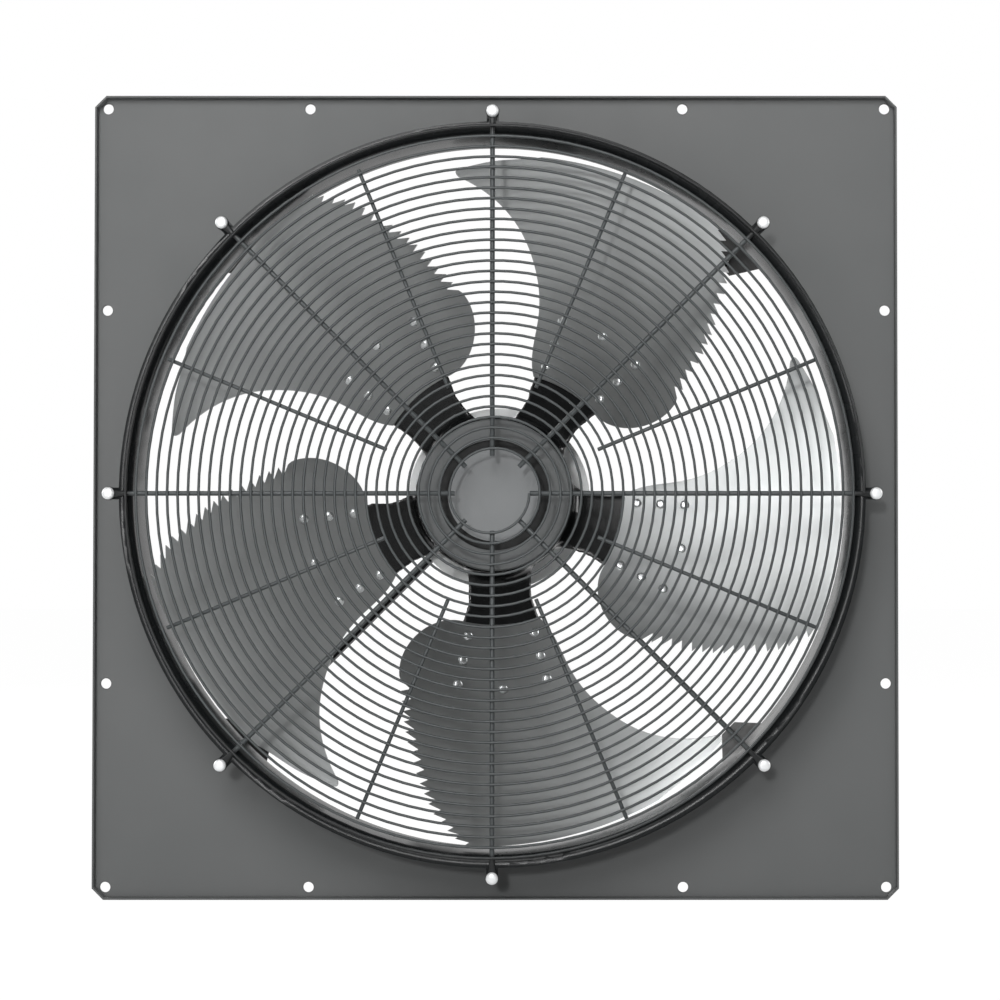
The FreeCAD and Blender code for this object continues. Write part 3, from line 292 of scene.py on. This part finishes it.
def coating(slot, name, shades, patch_mm, gloss, peel_mm, peel_height_mm, metal=0.0, edge=None,
            edge_mm=1.2, shine=0.5):
    """A node material with drifting colour, uneven gloss, ripples and another shade along edges."""
    material = bpy.data.materials.new(name)
    material.use_nodes = True
    tree = material.node_tree
    tree.nodes.clear()
    place = add_node(tree, "ShaderNodeTexCoord").outputs["Object"]
    drift = add_node(tree, "ShaderNodeTexNoise", Vector=place, Scale=per_metre(patch_mm),
                     Detail=COLOUR_DETAIL).outputs[0]
    colour = add_node(tree, "ShaderNodeMix", {"data_type": "RGBA"})
    tree.links.new(drift, colour.inputs["Factor"])
    colour.inputs[MIX_FIRST].default_value = linear(shades[0])
    colour.inputs[MIX_SECOND].default_value = linear(shades[1])
    colour = colour.outputs[MIX_RESULT]
    # Along edges a second shade: paler wear on the struts and the terminal box, painted shade along
    # the plate's folds and hole rims.
    if edge:
        rounded = add_node(tree, "ShaderNodeBevel", {"samples": EDGE_SAMPLES},
                           Radius=edge_mm * MM).outputs[0]
        flat = add_node(tree, "ShaderNodeNewGeometry").outputs["Normal"]
        lean = add_node(tree, "ShaderNodeVectorMath", {"operation": "DOT_PRODUCT"},
                        (rounded, flat)).outputs["Value"]
        near_edge = add_node(tree, "ShaderNodeMapRange", Value=lean,
                             From_Min=EDGE_BAND[0], From_Max=EDGE_BAND[1]).outputs[0]
        uneven = add_node(tree, "ShaderNodeMath", {"operation": "MULTIPLY"},
                          (near_edge, drift)).outputs[0]
        line = add_node(tree, "ShaderNodeMix", {"data_type": "RGBA"})
        tree.links.new(uneven, line.inputs["Factor"])
        tree.links.new(colour, line.inputs[MIX_FIRST])
        line.inputs[MIX_SECOND].default_value = linear(edge)
        colour = line.outputs[MIX_RESULT]
    smear = add_node(tree, "ShaderNodeTexNoise", Vector=place,
                     Scale=per_metre(patch_mm / SMEARS_PER_PATCH), Detail=GLOSS_DETAIL).outputs[0]
    rough = add_node(tree, "ShaderNodeMapRange", Value=smear,
                     From_Min=GLOSS_BAND[0], From_Max=GLOSS_BAND[1],
                     To_Min=gloss[0], To_Max=gloss[1]).outputs[0]
    peel = add_node(tree, "ShaderNodeTexNoise", Vector=place, Scale=per_metre(peel_mm),
                    Detail=PEEL_DETAIL).outputs[0]
    ripple = add_node(tree, "ShaderNodeBump", Height=peel, Distance=peel_height_mm * MM,
                      Strength=1.0)
    shader = add_node(tree, "ShaderNodeBsdfPrincipled", Base_Color=colour, Roughness=rough,
                      Normal=ripple.outputs[0], Metallic=metal, Specular_IOR_Level=shine)
    add_node(tree, "ShaderNodeOutputMaterial", Surface=shader.outputs[0])
    finishes[slot] = material
    print("finish", name, "for", slot)
    return tree, shader, place


# %% [markdown]
# ## Zones round the axis
# Some finishes change with the distance from the fan's axis. A Vector Math node takes that distance
# from the Object coordinates, and a Mix node lays a second colour over the first from one radius to
# another.

# %% Zone recipe
def paint_zone(tree, shader, place, start, full, shade):
    """Lay a shade over a finish, from none at one radius to all of it at another."""
    split = add_node(tree, "ShaderNodeSeparateXYZ", Vector=place).outputs
    across = add_node(tree, "ShaderNodeCombineXYZ", X=split["X"], Z=split["Z"]).outputs[0]
    reach = add_node(tree, "ShaderNodeVectorMath", {"operation": "LENGTH"},
                     (across,)).outputs["Value"]
    share = add_node(tree, "ShaderNodeMapRange", Value=reach,
                     From_Min=start, From_Max=full).outputs[0]
    zone = add_node(tree, "ShaderNodeMix", {"data_type": "RGBA"})
    tree.links.new(share, zone.inputs["Factor"])
    tree.links.new(shader.inputs["Base Color"].links[0].from_socket, zone.inputs[MIX_FIRST])
    zone.inputs[MIX_SECOND].default_value = linear(shade)
    tree.links.new(zone.outputs[MIX_RESULT], shader.inputs["Base Color"])
    print("zone from %.1f to %.1f mm" % (start / MM, full / MM))


# %% [markdown]
# ## Painted sheet and wire
# The plate is satin grey powder coat, with painted shade along its folds and hole rims, where the
# bends fall into shade. The nozzle ring is spun steel under black stove enamel, which mirrors the
# white background where it is seen at a low angle. The guard's wire has a matt plastic coating,
# darker where its ends lie on the rim. The blades are pressed aluminium under a metallic grey paint:
# metal flakes lie flat in it, which gives the broad sheen that moves from blade to blade.

# %% Finishes of plate, nozzle, guard and blades
# The plate's edge colour is painted shade along its folds and hole rims.
coating("plate_paint", "satin_powder_coat", ("#606262", "#6a6b6b"),
        patch_mm=160, gloss=(0.52, 0.58), peel_mm=2.6, peel_height_mm=0.02, edge="#242626",
        edge_mm=2.8, shine=0.25)
coating("nozzle_paint", "black_stove_enamel", ("#131516", "#1a1c1d"),
        patch_mm=120, gloss=(0.24, 0.29), peel_mm=3.5, peel_height_mm=0.012, shine=0.2)
WIRE_END_FROM, WIRE_END_FULL = 365.0 * MM, 370.0 * MM
tree, shader, place = coating("guard_coating", "matt_wire_coating", ("#3c4041", "#474b4c"),
                              patch_mm=30, gloss=(0.42, 0.55), peel_mm=1.0, peel_height_mm=0.02)
paint_zone(tree, shader, place, WIRE_END_FROM, WIRE_END_FULL, "#141617")
coating("blade_paint", "metallic_flake_paint", ("#939595", "#9a9c9c"),
        patch_mm=140, gloss=(0.33, 0.37), peel_mm=2.4, peel_height_mm=0.008, metal=0.9)

# %% [markdown]
# ## Cast and dark parts
# The hub is a casting under black gloss paint, with the soft skin that a casting keeps under paint.
# The struts are black powder coat with a rougher peel. The motor's rotor is turned cast aluminium,
# painted grey: paler on the cap in the middle, and with painted shade in the groove round it, near
# black, for the shade that falls deep in that groove.

# %% Finishes of hub, struts and motor
coating("hub_paint", "black_gloss_on_casting", ("#0b0c0c", "#131415"),
        patch_mm=60, gloss=(0.18, 0.26), peel_mm=4.0, peel_height_mm=0.03)
coating("support_paint", "black_powder_coat", ("#060606", "#0b0b0c"),
        patch_mm=80, gloss=(0.45, 0.60), peel_mm=1.8, peel_height_mm=0.05, edge="#1c1d1e",
        shine=0.15)
CAP_RADIUS = 47.8 * MM
GROOVE_RADIUS = 57.2 * MM
EDGE_BLUR = 0.4 * MM
tree, shader, place = coating("motor_cast", "grey_paint_on_casting", ("#5b5d5e", "#676969"),
                              patch_mm=40, gloss=(0.54, 0.64), peel_mm=1.6, peel_height_mm=0.04,
                              shine=0.3)
# Painted shade: the groove round the cap is coloured near black for the shade that falls deep in it.
paint_zone(tree, shader, place, GROOVE_RADIUS + EDGE_BLUR, GROOVE_RADIUS, "#0a0b0b")
paint_zone(tree, shader, place, CAP_RADIUS + EDGE_BLUR, CAP_RADIUS, "#7c7e7f")

# %% [markdown]
# ## Bright and bare metal
# Rivets are bare aluminium and the screws are bright zinc, nearly white in this light. Inside the
# motor the steel is oiled and dark, the bearings are ground. A metal gets its look from its
# reflection, so bare metal has a Metallic of one, and its ripple is fine. The zinc has a third of
# that: at one it would mirror the dark room.

# %% Finishes of rivets, screws, bearings and steel
coating("rivet_steel", "bare_aluminium", ("#dfe2e3", "#eceeee"),
        patch_mm=6, gloss=(0.24, 0.36), peel_mm=0.6, peel_height_mm=0.01, metal=1.0)
coating("zinc_steel", "bright_zinc_plate", ("#eef0f1", "#f8f9f9"),
        patch_mm=8, gloss=(0.32, 0.45), peel_mm=0.7, peel_height_mm=0.01, metal=0.35)
coating("dark_steel", "oiled_black_steel", ("#2e2f30", "#3d3e3f"),
        patch_mm=10, gloss=(0.30, 0.45), peel_mm=0.8, peel_height_mm=0.01, metal=1.0)
coating("bearing_steel", "ground_bearing_steel", ("#b9bcbf", "#c8cbce"),
        patch_mm=8, gloss=(0.12, 0.22), peel_mm=0.5, peel_height_mm=0.004, metal=1.0)

# %% [markdown]
# ## Laminations and windings
# A motor's core is a stack of steel sheets half a millimetre thick, and a winding is enamelled
# copper wire. Both are bands along the axis: a Wave texture gives them, which at a scale of one
# runs through 20 radians in a metre. The bands are drawn two and three millimetres wide, because
# finer ones would not show.

# %% Finishes inside the motor
WAVE_PHASE = 20.0
BAND_WANDER = 0.4
SHEET_BAND_MM, SHEET_GROOVE_MM = 1.974, 0.25
WIRE_BAND_MM, WIRE_GROOVE_MM = 3.158, 0.40
for slot, name, shades, gloss, metal, band_mm, groove_mm in (
        ("lamination", "stacked_core_sheet", ("#6d6e70", "#85878a"), (0.32, 0.46), 1.0,
         SHEET_BAND_MM, SHEET_GROOVE_MM),
        ("winding", "enamelled_copper_wire", ("#8d4522", "#a9582c"), (0.24, 0.36), 0.4,
         WIRE_BAND_MM, WIRE_GROOVE_MM)):
    tree, shader, place = coating(slot, name, shades, patch_mm=14, gloss=gloss,
                                  peel_mm=0.8, peel_height_mm=0.01, metal=metal)
    bands = add_node(tree, "ShaderNodeTexWave", {"bands_direction": "Y"}, Vector=place,
                     Scale=per_metre(band_mm) * math.tau / WAVE_PHASE, Distortion=BAND_WANDER)
    groove = add_node(tree, "ShaderNodeBump", Height=bands.outputs[1], Distance=groove_mm * MM)
    tree.links.new(groove.outputs[0], shader.inputs["Normal"])

# %% [markdown]
# ## Plastic and rubber
# The terminal box is moulded black polyamide with a spark-eroded grain, the block inside it is pale
# polyamide, and the seals are matt rubber.

# %% Finishes of the terminal box
coating("box_plastic", "black_polyamide", ("#17181a", "#1e1f21"),
        patch_mm=30, gloss=(0.44, 0.56), peel_mm=0.9, peel_height_mm=0.05, edge="#2b2c2e")
coating("block_plastic", "pale_polyamide", ("#b5b3ac", "#c2c0b9"),
        patch_mm=20, gloss=(0.40, 0.52), peel_mm=0.9, peel_height_mm=0.03)
coating("seal_rubber", "matt_rubber", ("#121212", "#1a1a1a"),
        patch_mm=12, gloss=(0.62, 0.78), peel_mm=0.8, peel_height_mm=0.04)

# %% [markdown]
# ## Paint every node
# A node takes the finish of its slot. The motor's disc is the one exception. It shares the slot of
# the black struts, but its real finish isn't known, and a black rim behind the hub would change the
# hub's outline between the arms. So it is taken to be galvanised sheet, which stays pale there.

# %% Paint the nodes
coating("bare_disc", "galvanised_sheet", ("#e9ebeb", "#f2f3f3"),
        patch_mm=25, gloss=(0.45, 0.60), peel_mm=1.2, peel_height_mm=0.01)
finish_of = {name: finishes[slot] for name, slot in slot_of.items()}
finish_of["motor_mount_disc"] = finishes["bare_disc"]
for name, node in nodes.items():
    node.data.materials.clear()
    node.data.materials.append(finish_of[name])
print("painted", len(nodes), "nodes with", len(finishes), "finishes")

# %% [markdown]
# ## Making pieces
# A finer piece takes its finish and its body from the node that it stands for. Its faces shade
# smooth, with a sharp edge kept wherever two faces meet at more than the given angle.

# %% Piece helper
SHARP_FROM = 40


def stand_in(shape, node, name, smooth_to=SHARP_FROM):
    """Make an object of a finished bmesh, in place of a CAD node."""
    bmesh.ops.recalc_face_normals(shape, faces=shape.faces)
    mesh = bpy.data.meshes.new(name)
    shape.to_mesh(mesh)
    shape.free()
    mesh.shade_smooth()
    mesh.set_sharp_from_angle(angle=math.radians(smooth_to))
    mesh.materials.append(finish_of[node])
    piece = bpy.data.objects.new(name, mesh)
    scene.collection.objects.link(piece)
    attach(piece, body_of[node])
    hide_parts(node)
    print("%s: %d faces in place of %s" % (name, len(mesh.polygons), node))
    return piece


FAN_AXIS = Vector((0, -1, 0))


def repeat_round(shape, count, first_angle=0.0):
    """Turn everything made so far to the first angle and copy it round the fan's axis."""
    bmesh.ops.rotate(shape, verts=shape.verts, cent=(0, 0, 0),
                     matrix=Matrix.Rotation(math.radians(first_angle), 3, FAN_AXIS))
    everything = shape.verts[:] + shape.edges[:] + shape.faces[:]
    bmesh.ops.spin(shape, geom=everything, cent=(0, 0, 0), axis=FAN_AXIS,
                   angle=math.tau * (count - 1) / count, steps=count - 1, use_duplicate=True)


# %% [markdown]
# ## Guard wire
# The guard is one wire wound into a flat spiral. In CAD it has eight flat sides, to keep the solid
# small. Here a round section is spun in half turns about two centres that lie half a pitch apart:
# each half turn is a plain circle, and together they wind inwards. A screw modifier would climb
# along the axis instead.

# %% Guard spiral
WIRE_RADIUS = 1.4 * MM
PITCH = 10.6 * MM
SPIRAL_OUTER = 374.35 * MM
SPIRAL_INNER = 38.0 * MM
WIRE_Y = -82.5 * MM
WIRE_SIDES = 10
STEPS_OUTSIDE, STEPS_INSIDE = 54, 18

shape = bmesh.new()
radius = SPIRAL_OUTER
side = 1
end = bmesh.ops.create_circle(shape, segments=WIRE_SIDES, radius=WIRE_RADIUS)["verts"]
bmesh.ops.translate(shape, verts=end, vec=(radius + PITCH / 4, WIRE_Y, 0))
section = end + list({edge for vert in end for edge in vert.link_edges})
half_turns = 0
while radius > SPIRAL_INNER:
    steps = max(STEPS_INSIDE, round(STEPS_OUTSIDE * math.sqrt(radius / SPIRAL_OUTER)))
    made = bmesh.ops.spin(shape, geom=section, cent=(side * PITCH / 4, WIRE_Y, 0), axis=FAN_AXIS,
                          angle=math.pi, steps=steps)
    section = made["geom_last"]
    radius -= PITCH / 2
    side = -side
    half_turns += 1
bmesh.ops.holes_fill(shape, edges=[edge for edge in shape.edges if edge.is_boundary])
print("half turns:", half_turns)
stand_in(shape, "guard_spiral", "guard_wire", smooth_to=60)

# %% [markdown]
# ## Long spokes
# Eight thicker wires carry the spiral. Each one is cut square at its inner end, and its outer end
# is flattened into an eyelet for the screw. A ring of vertices is extruded from station to station
# and scaled there, as the press flattens the real wire, and the eyelet is a rounded section spun
# round the screw.

# %% Long spokes
SPOKES = 8
SPOKE_RADIUS = 2.5 * MM
SPOKE_Y = -78.55 * MM
EYELET_AT = 390.0 * MM
EYELET_RADIUS = 7.0 * MM
EYELET_HOLE = 3.3 * MM
EYELET_THICK = 3.0 * MM
EYELET_Y = -77.55 * MM
STATIONS = ((38.0, 0.86, 0.86), (38.6, 1.0, 1.0), (368.0, 1.0, 1.0),
            (375.0, 0.9, 1.05), (380.0, 0.7, 1.25), (384.0, 0.58, 1.6))
SPOKE_SIDES = 14
EYELET_SIDES = 12
EYELET_STEPS = 28
TOUCHING = 1e-6
Z_TO_X = Matrix.Rotation(math.radians(90), 3, "Y")

shape = bmesh.new()
ring = bmesh.ops.create_circle(shape, segments=SPOKE_SIDES, radius=SPOKE_RADIUS,
                               cap_ends=True)["verts"]
bmesh.ops.rotate(shape, verts=ring, cent=(0, 0, 0), matrix=Z_TO_X)
bmesh.ops.translate(shape, verts=ring, vec=(STATIONS[0][0] * MM, SPOKE_Y, 0))
thickness, width = 1.0, 1.0
for number, (reach, thick_share, wide_share) in enumerate(STATIONS):
    centre = Vector((ring[0].co.x, SPOKE_Y, 0))
    if number:
        edges = list({edge for vert in ring for edge in vert.link_edges
                      if edge.verts[0] in ring and edge.verts[1] in ring})
        made = bmesh.ops.extrude_edge_only(shape, edges=edges)["geom"]
        ring = [item for item in made if isinstance(item, bmesh.types.BMVert)]
        bmesh.ops.translate(shape, verts=ring, vec=(reach * MM - centre.x, 0, 0))
        centre.x = reach * MM
    bmesh.ops.scale(shape, verts=ring, vec=(1, thick_share / thickness, wide_share / width),
                    space=Matrix.Translation(-centre))
    thickness, width = thick_share, wide_share
bmesh.ops.translate(shape, verts=ring, vec=(0, EYELET_Y - SPOKE_Y, 0))
bmesh.ops.holes_fill(shape, edges=[edge for edge in shape.edges if edge.is_boundary])

start = set(shape.verts)
middle = (EYELET_RADIUS + EYELET_HOLE) / 2
section = bmesh.ops.create_circle(shape, segments=EYELET_SIDES, radius=1.0)["verts"]
bmesh.ops.scale(shape, verts=section,
                vec=((EYELET_RADIUS - EYELET_HOLE) / 2, EYELET_THICK / 2, 1))
bmesh.ops.translate(shape, verts=section, vec=(EYELET_AT + middle, EYELET_Y, 0))
section = section + list({edge for vert in section for edge in vert.link_edges})
bmesh.ops.spin(shape, geom=section, cent=(EYELET_AT, EYELET_Y, 0), axis=FAN_AXIS,
               angle=math.tau, steps=EYELET_STEPS, use_merge=True)
eyelet = [vert for vert in shape.verts if vert not in start]
bmesh.ops.remove_doubles(shape, verts=eyelet, dist=TOUCHING)
repeat_round(shape, SPOKES)
stand_in(shape, "guard_long_spokes", "long_spokes", smooth_to=50)

# %% [markdown]
# ## Short spokes
# Eight thinner wires hold the outer turns between the long ones. They are plain lengths of wire
# whose cut ends have lost their edge in the coating bath.

# %% Short spokes
SHORT_RADIUS = 2.0 * MM
SHORT_FROM, SHORT_TO = 116.0 * MM, 357.0 * MM
SHORT_Y = -79.05 * MM
SHORT_ANGLE = 22.5
END_ROUNDING = 0.8 * MM
END_STEPS = 3
ROUND_PROFILE = 0.5

shape = bmesh.new()
bmesh.ops.create_cone(shape, cap_ends=True, segments=SPOKE_SIDES, radius1=SHORT_RADIUS,
                      radius2=SHORT_RADIUS, depth=SHORT_TO - SHORT_FROM)
ends = [edge for edge in shape.edges if edge.calc_length() < SHORT_RADIUS]
bmesh.ops.bevel(shape, geom=ends, offset=END_ROUNDING, offset_type="OFFSET", segments=END_STEPS,
                profile=ROUND_PROFILE, affect="EDGES", material=-1)
bmesh.ops.rotate(shape, verts=shape.verts, cent=(0, 0, 0), matrix=Z_TO_X)
bmesh.ops.translate(shape, verts=shape.verts, vec=((SHORT_FROM + SHORT_TO) / 2, SHORT_Y, 0))
repeat_round(shape, SPOKES, SHORT_ANGLE)
stand_in(shape, "guard_short_spokes", "short_spokes", smooth_to=50)

# %% [markdown]
# ## Guard screws
# Plain mushroom heads, as on coach bolts, on a threaded shank. A short cylinder with its front edge
# bevelled over nearly its whole height gives the head, and the thread's end behind the nut is
# chamfered.

# %% Guard screws
HEAD_RADIUS = 6.3 * MM
HEAD_HEIGHT = 3.9 * MM
HEAD_ROUNDING = 3.4 * MM
HEAD_SEAT_Y = -79.1 * MM
HEAD_SIDES = 32
SHANK_RADIUS = 3.0 * MM
SHANK_END_Y = -65.95 * MM
SHANK_CHAMFER = 0.6 * MM
SHANK_SIDES = 20
OVERLAP = 0.1 * MM


def round_bar(shape, radius, front_y, rear_y, sides, front_bevel=0, rear_bevel=0, steps=5):
    """A cylinder along Y with rounded ends, about the line x = z = 0."""
    middle = Matrix.Translation((0, (front_y + rear_y) / 2, 0))
    turned = middle @ Matrix.Rotation(math.radians(90), 4, "X")
    made = bmesh.ops.create_cone(shape, cap_ends=True, segments=sides, radius1=radius,
                                 radius2=radius, depth=rear_y - front_y, matrix=turned)["verts"]
    for y, width in ((front_y, front_bevel), (rear_y, rear_bevel)):
        rim = [edge for vert in made if vert.is_valid for edge in vert.link_edges
               if all(abs(end.co.y - y) < TOUCHING for end in edge.verts)]
        if width:
            bmesh.ops.bevel(shape, geom=list(set(rim)), offset=width, offset_type="OFFSET",
                            segments=steps, profile=ROUND_PROFILE, affect="EDGES", material=-1)


shape = bmesh.new()
round_bar(shape, HEAD_RADIUS, HEAD_SEAT_Y - HEAD_HEIGHT, HEAD_SEAT_Y, HEAD_SIDES,
          front_bevel=HEAD_ROUNDING)
round_bar(shape, SHANK_RADIUS, HEAD_SEAT_Y - OVERLAP, SHANK_END_Y, SHANK_SIDES,
          rear_bevel=SHANK_CHAMFER, steps=1)
bmesh.ops.translate(shape, verts=shape.verts, vec=(EYELET_AT, 0, 0))
repeat_round(shape, SPOKES)
stand_in(shape, "guard_screws", "mushroom_screws", smooth_to=50)

# %% [markdown]
# ## Rivets
# Seven rivets hold each blade to its arm. They stand square on the blade's twisted face, so each
# one needs its own place and lean. Both follow from the blade's surface: its station along the axis
# at a radius and an angle, and the two directions in which that surface runs, found by a short step
# along each.

# %% Rivets
BLADES = 5
FIRST_ARM = 272.3
ROOT_RADIUS_MM, TIP_RADIUS_MM = 136.0, 364.0
ROOT_STATION_MM, TIP_STATION_MM = 2.0, -36.0
ROOT_SLOPE, TIP_SLOPE = 0.46, 0.25
CAMBER_PER_MM = 0.0008
BLADE_SHEET_MM, SEAT_GAP_MM, ARM_SHEET_MM = 3.4, 0.05, 4.5
DOME_RADIUS, DOME_HEIGHT, DOME_ROUNDING = 5.0 * MM, 2.6 * MM, 2.35 * MM
DOME_SINK = 0.02 * MM
TAIL_RADIUS, TAIL_HEIGHT, TAIL_ROUNDING = 4.8 * MM, 1.3 * MM, 0.5 * MM
RIVET_SIDES = 20
ROW_FIRST_MM, ROW_STEP_MM, ROW_SPREAD = 150.0, 25.5, 13.3
OUTER_RIVET_MM = 203.5
PROBE = 0.5
RIVETS = [(ROW_FIRST_MM + ROW_STEP_MM * row, ROW_SPREAD * sign)
          for row in range(3) for sign in (1, -1)]
RIVETS.append((OUTER_RIVET_MM, 0.0))


def on_blade(radius, degrees):
    """A point on a blade's front face at a radius in mm, with the blade's arm along +X."""
    share = (radius - ROOT_RADIUS_MM) / (TIP_RADIUS_MM - ROOT_RADIUS_MM)
    angle = math.radians(degrees)
    run = radius * angle
    slope = ROOT_SLOPE + (TIP_SLOPE - ROOT_SLOPE) * share
    station = ROOT_STATION_MM + (TIP_STATION_MM - ROOT_STATION_MM) * share
    station += slope * run - CAMBER_PER_MM / 2 * run ** 2
    return Vector((radius * math.cos(angle), station, radius * math.sin(angle))) * MM


one_arm = bmesh.new()
for radius, degrees in RIVETS:
    here = on_blade(radius, degrees)
    along = on_blade(radius, degrees + PROBE) - here
    outward = on_blade(radius + PROBE, degrees) - here
    into = along.cross(outward).normalized()
    into = into if into.y > 0 else -into
    stack = (BLADE_SHEET_MM + SEAT_GAP_MM + ARM_SHEET_MM) * into.y * MM
    rivet = bmesh.new()
    round_bar(rivet, DOME_RADIUS, -DOME_HEIGHT, DOME_SINK, RIVET_SIDES,
              front_bevel=DOME_ROUNDING, steps=4)
    round_bar(rivet, TAIL_RADIUS, stack, stack + TAIL_HEIGHT, RIVET_SIDES,
              rear_bevel=TAIL_ROUNDING, steps=2)
    lean = Vector((0, 1, 0)).rotation_difference(into).to_matrix().to_4x4()
    bmesh.ops.transform(rivet, verts=rivet.verts, matrix=Matrix.Translation(here) @ lean)
    loose = bpy.data.meshes.new("one_rivet")
    rivet.to_mesh(loose)
    rivet.free()
    one_arm.from_mesh(loose)
    bpy.data.meshes.remove(loose)
repeat_round(one_arm, BLADES, FIRST_ARM)
stand_in(one_arm, "blade_rivets", "rivet_heads", smooth_to=50)

# %% [markdown]
# ## Softened copies
# No pressed, moulded or machined part has a knife edge. A copy of the CAD mesh is merged, its flat
# facets are joined to whole faces, and a Bevel modifier rounds every edge that is sharper than the
# given angle. A Weighted Normal modifier then keeps the flats flat. Sheet that was folded gets its
# bend radius this way. The nozzle ring is curved in CAD already, so its copy is only merged and
# shaded smooth.

# %% Softened copies
MERGE_WITHIN = 2e-6
FLAT_WITHIN = 0.4
BEVEL_STEPS = 2


def merged_copy(node):
    """A bmesh of a CAD node with its loose triangles joined."""
    shape = bmesh.new()
    shape.from_mesh(nodes[node].data)
    bmesh.ops.remove_doubles(shape, verts=shape.verts, dist=MERGE_WITHIN)
    return shape


def softened(node, radius_mm):
    """Put a copy with rounded edges in place of a CAD node."""
    shape = merged_copy(node)
    bmesh.ops.dissolve_limit(shape, angle_limit=math.radians(FLAT_WITHIN),
                             verts=shape.verts, edges=shape.edges)
    piece = stand_in(shape, node, node + "_softened")
    bevel = piece.modifiers.new("rounded_edges", "BEVEL")
    bevel.width = radius_mm * MM
    bevel.segments = BEVEL_STEPS
    bevel.limit_method = "ANGLE"
    bevel.angle_limit = math.radians(SHARP_FROM)
    bevel.use_clamp_overlap = True
    flats = piece.modifiers.new("flat_faces", "WEIGHTED_NORMAL")
    flats.keep_sharp = False


EDGE_RADIUS_MM = {
    "wall_plate": 0.9, "guard_nuts": 0.5, "foot_nuts": 0.6, "foot_studs": 0.6, "motor_bolts": 0.6,
    "motor_mount_disc": 0.8, "terminal_box": 0.7, "box_lid": 0.8, "lid_screws": 0.4,
    "gland_body": 0.6, "gland_nut": 0.8, "support_strut_1": 0.9, "support_strut_2": 0.9,
    "support_strut_3": 0.9, "support_strut_4": 0.9}
stand_in(merged_copy("nozzle_ring"), "nozzle_ring", "spun_ring")
for node, radius_mm in EDGE_RADIUS_MM.items():
    softened(node, radius_mm)

# %% [markdown]
# ## Hub
# The hub is one casting: a sleeve, five arms and the trumpet between them, all running into each
# other with generous fillets. CAD has those surfaces meeting in edges. Here the skin is swollen by
# the fillet's radius, joined to one by a voxel remesh, and shrunk again by as much: every inner
# corner comes back rounded, while outer edges come back where they were. Smoothing alone would have
# thinned the arms. A last remesh clears the folds that shrinking leaves along thin edges.

# %% Hub
HUB_VOXEL = 1.9 * MM
FILLET = 11.0 * MM
SMOOTH_PASSES = 8
SMOOTH_SHARE = 0.5
hub = stand_in(merged_copy("hub_spider"), "hub_spider", "cast_hub", smooth_to=180)


def one_skin(name):
    """Join whatever crosses or folds in the hub to one closed skin."""
    skin = hub.modifiers.new(name, "REMESH")
    skin.mode = "VOXEL"
    skin.voxel_size = HUB_VOXEL
    skin.use_smooth_shade = True


for step, offset in (("swollen", FILLET), ("shrunk", -FILLET)):
    one_skin("skin_before_" + step)
    push = hub.modifiers.new(step, "DISPLACE")
    push.mid_level = 0.0
    push.strength = offset
one_skin("last_skin")
soft = hub.modifiers.new("cast_skin", "SMOOTH")
soft.factor = SMOOTH_SHARE
soft.iterations = SMOOTH_PASSES
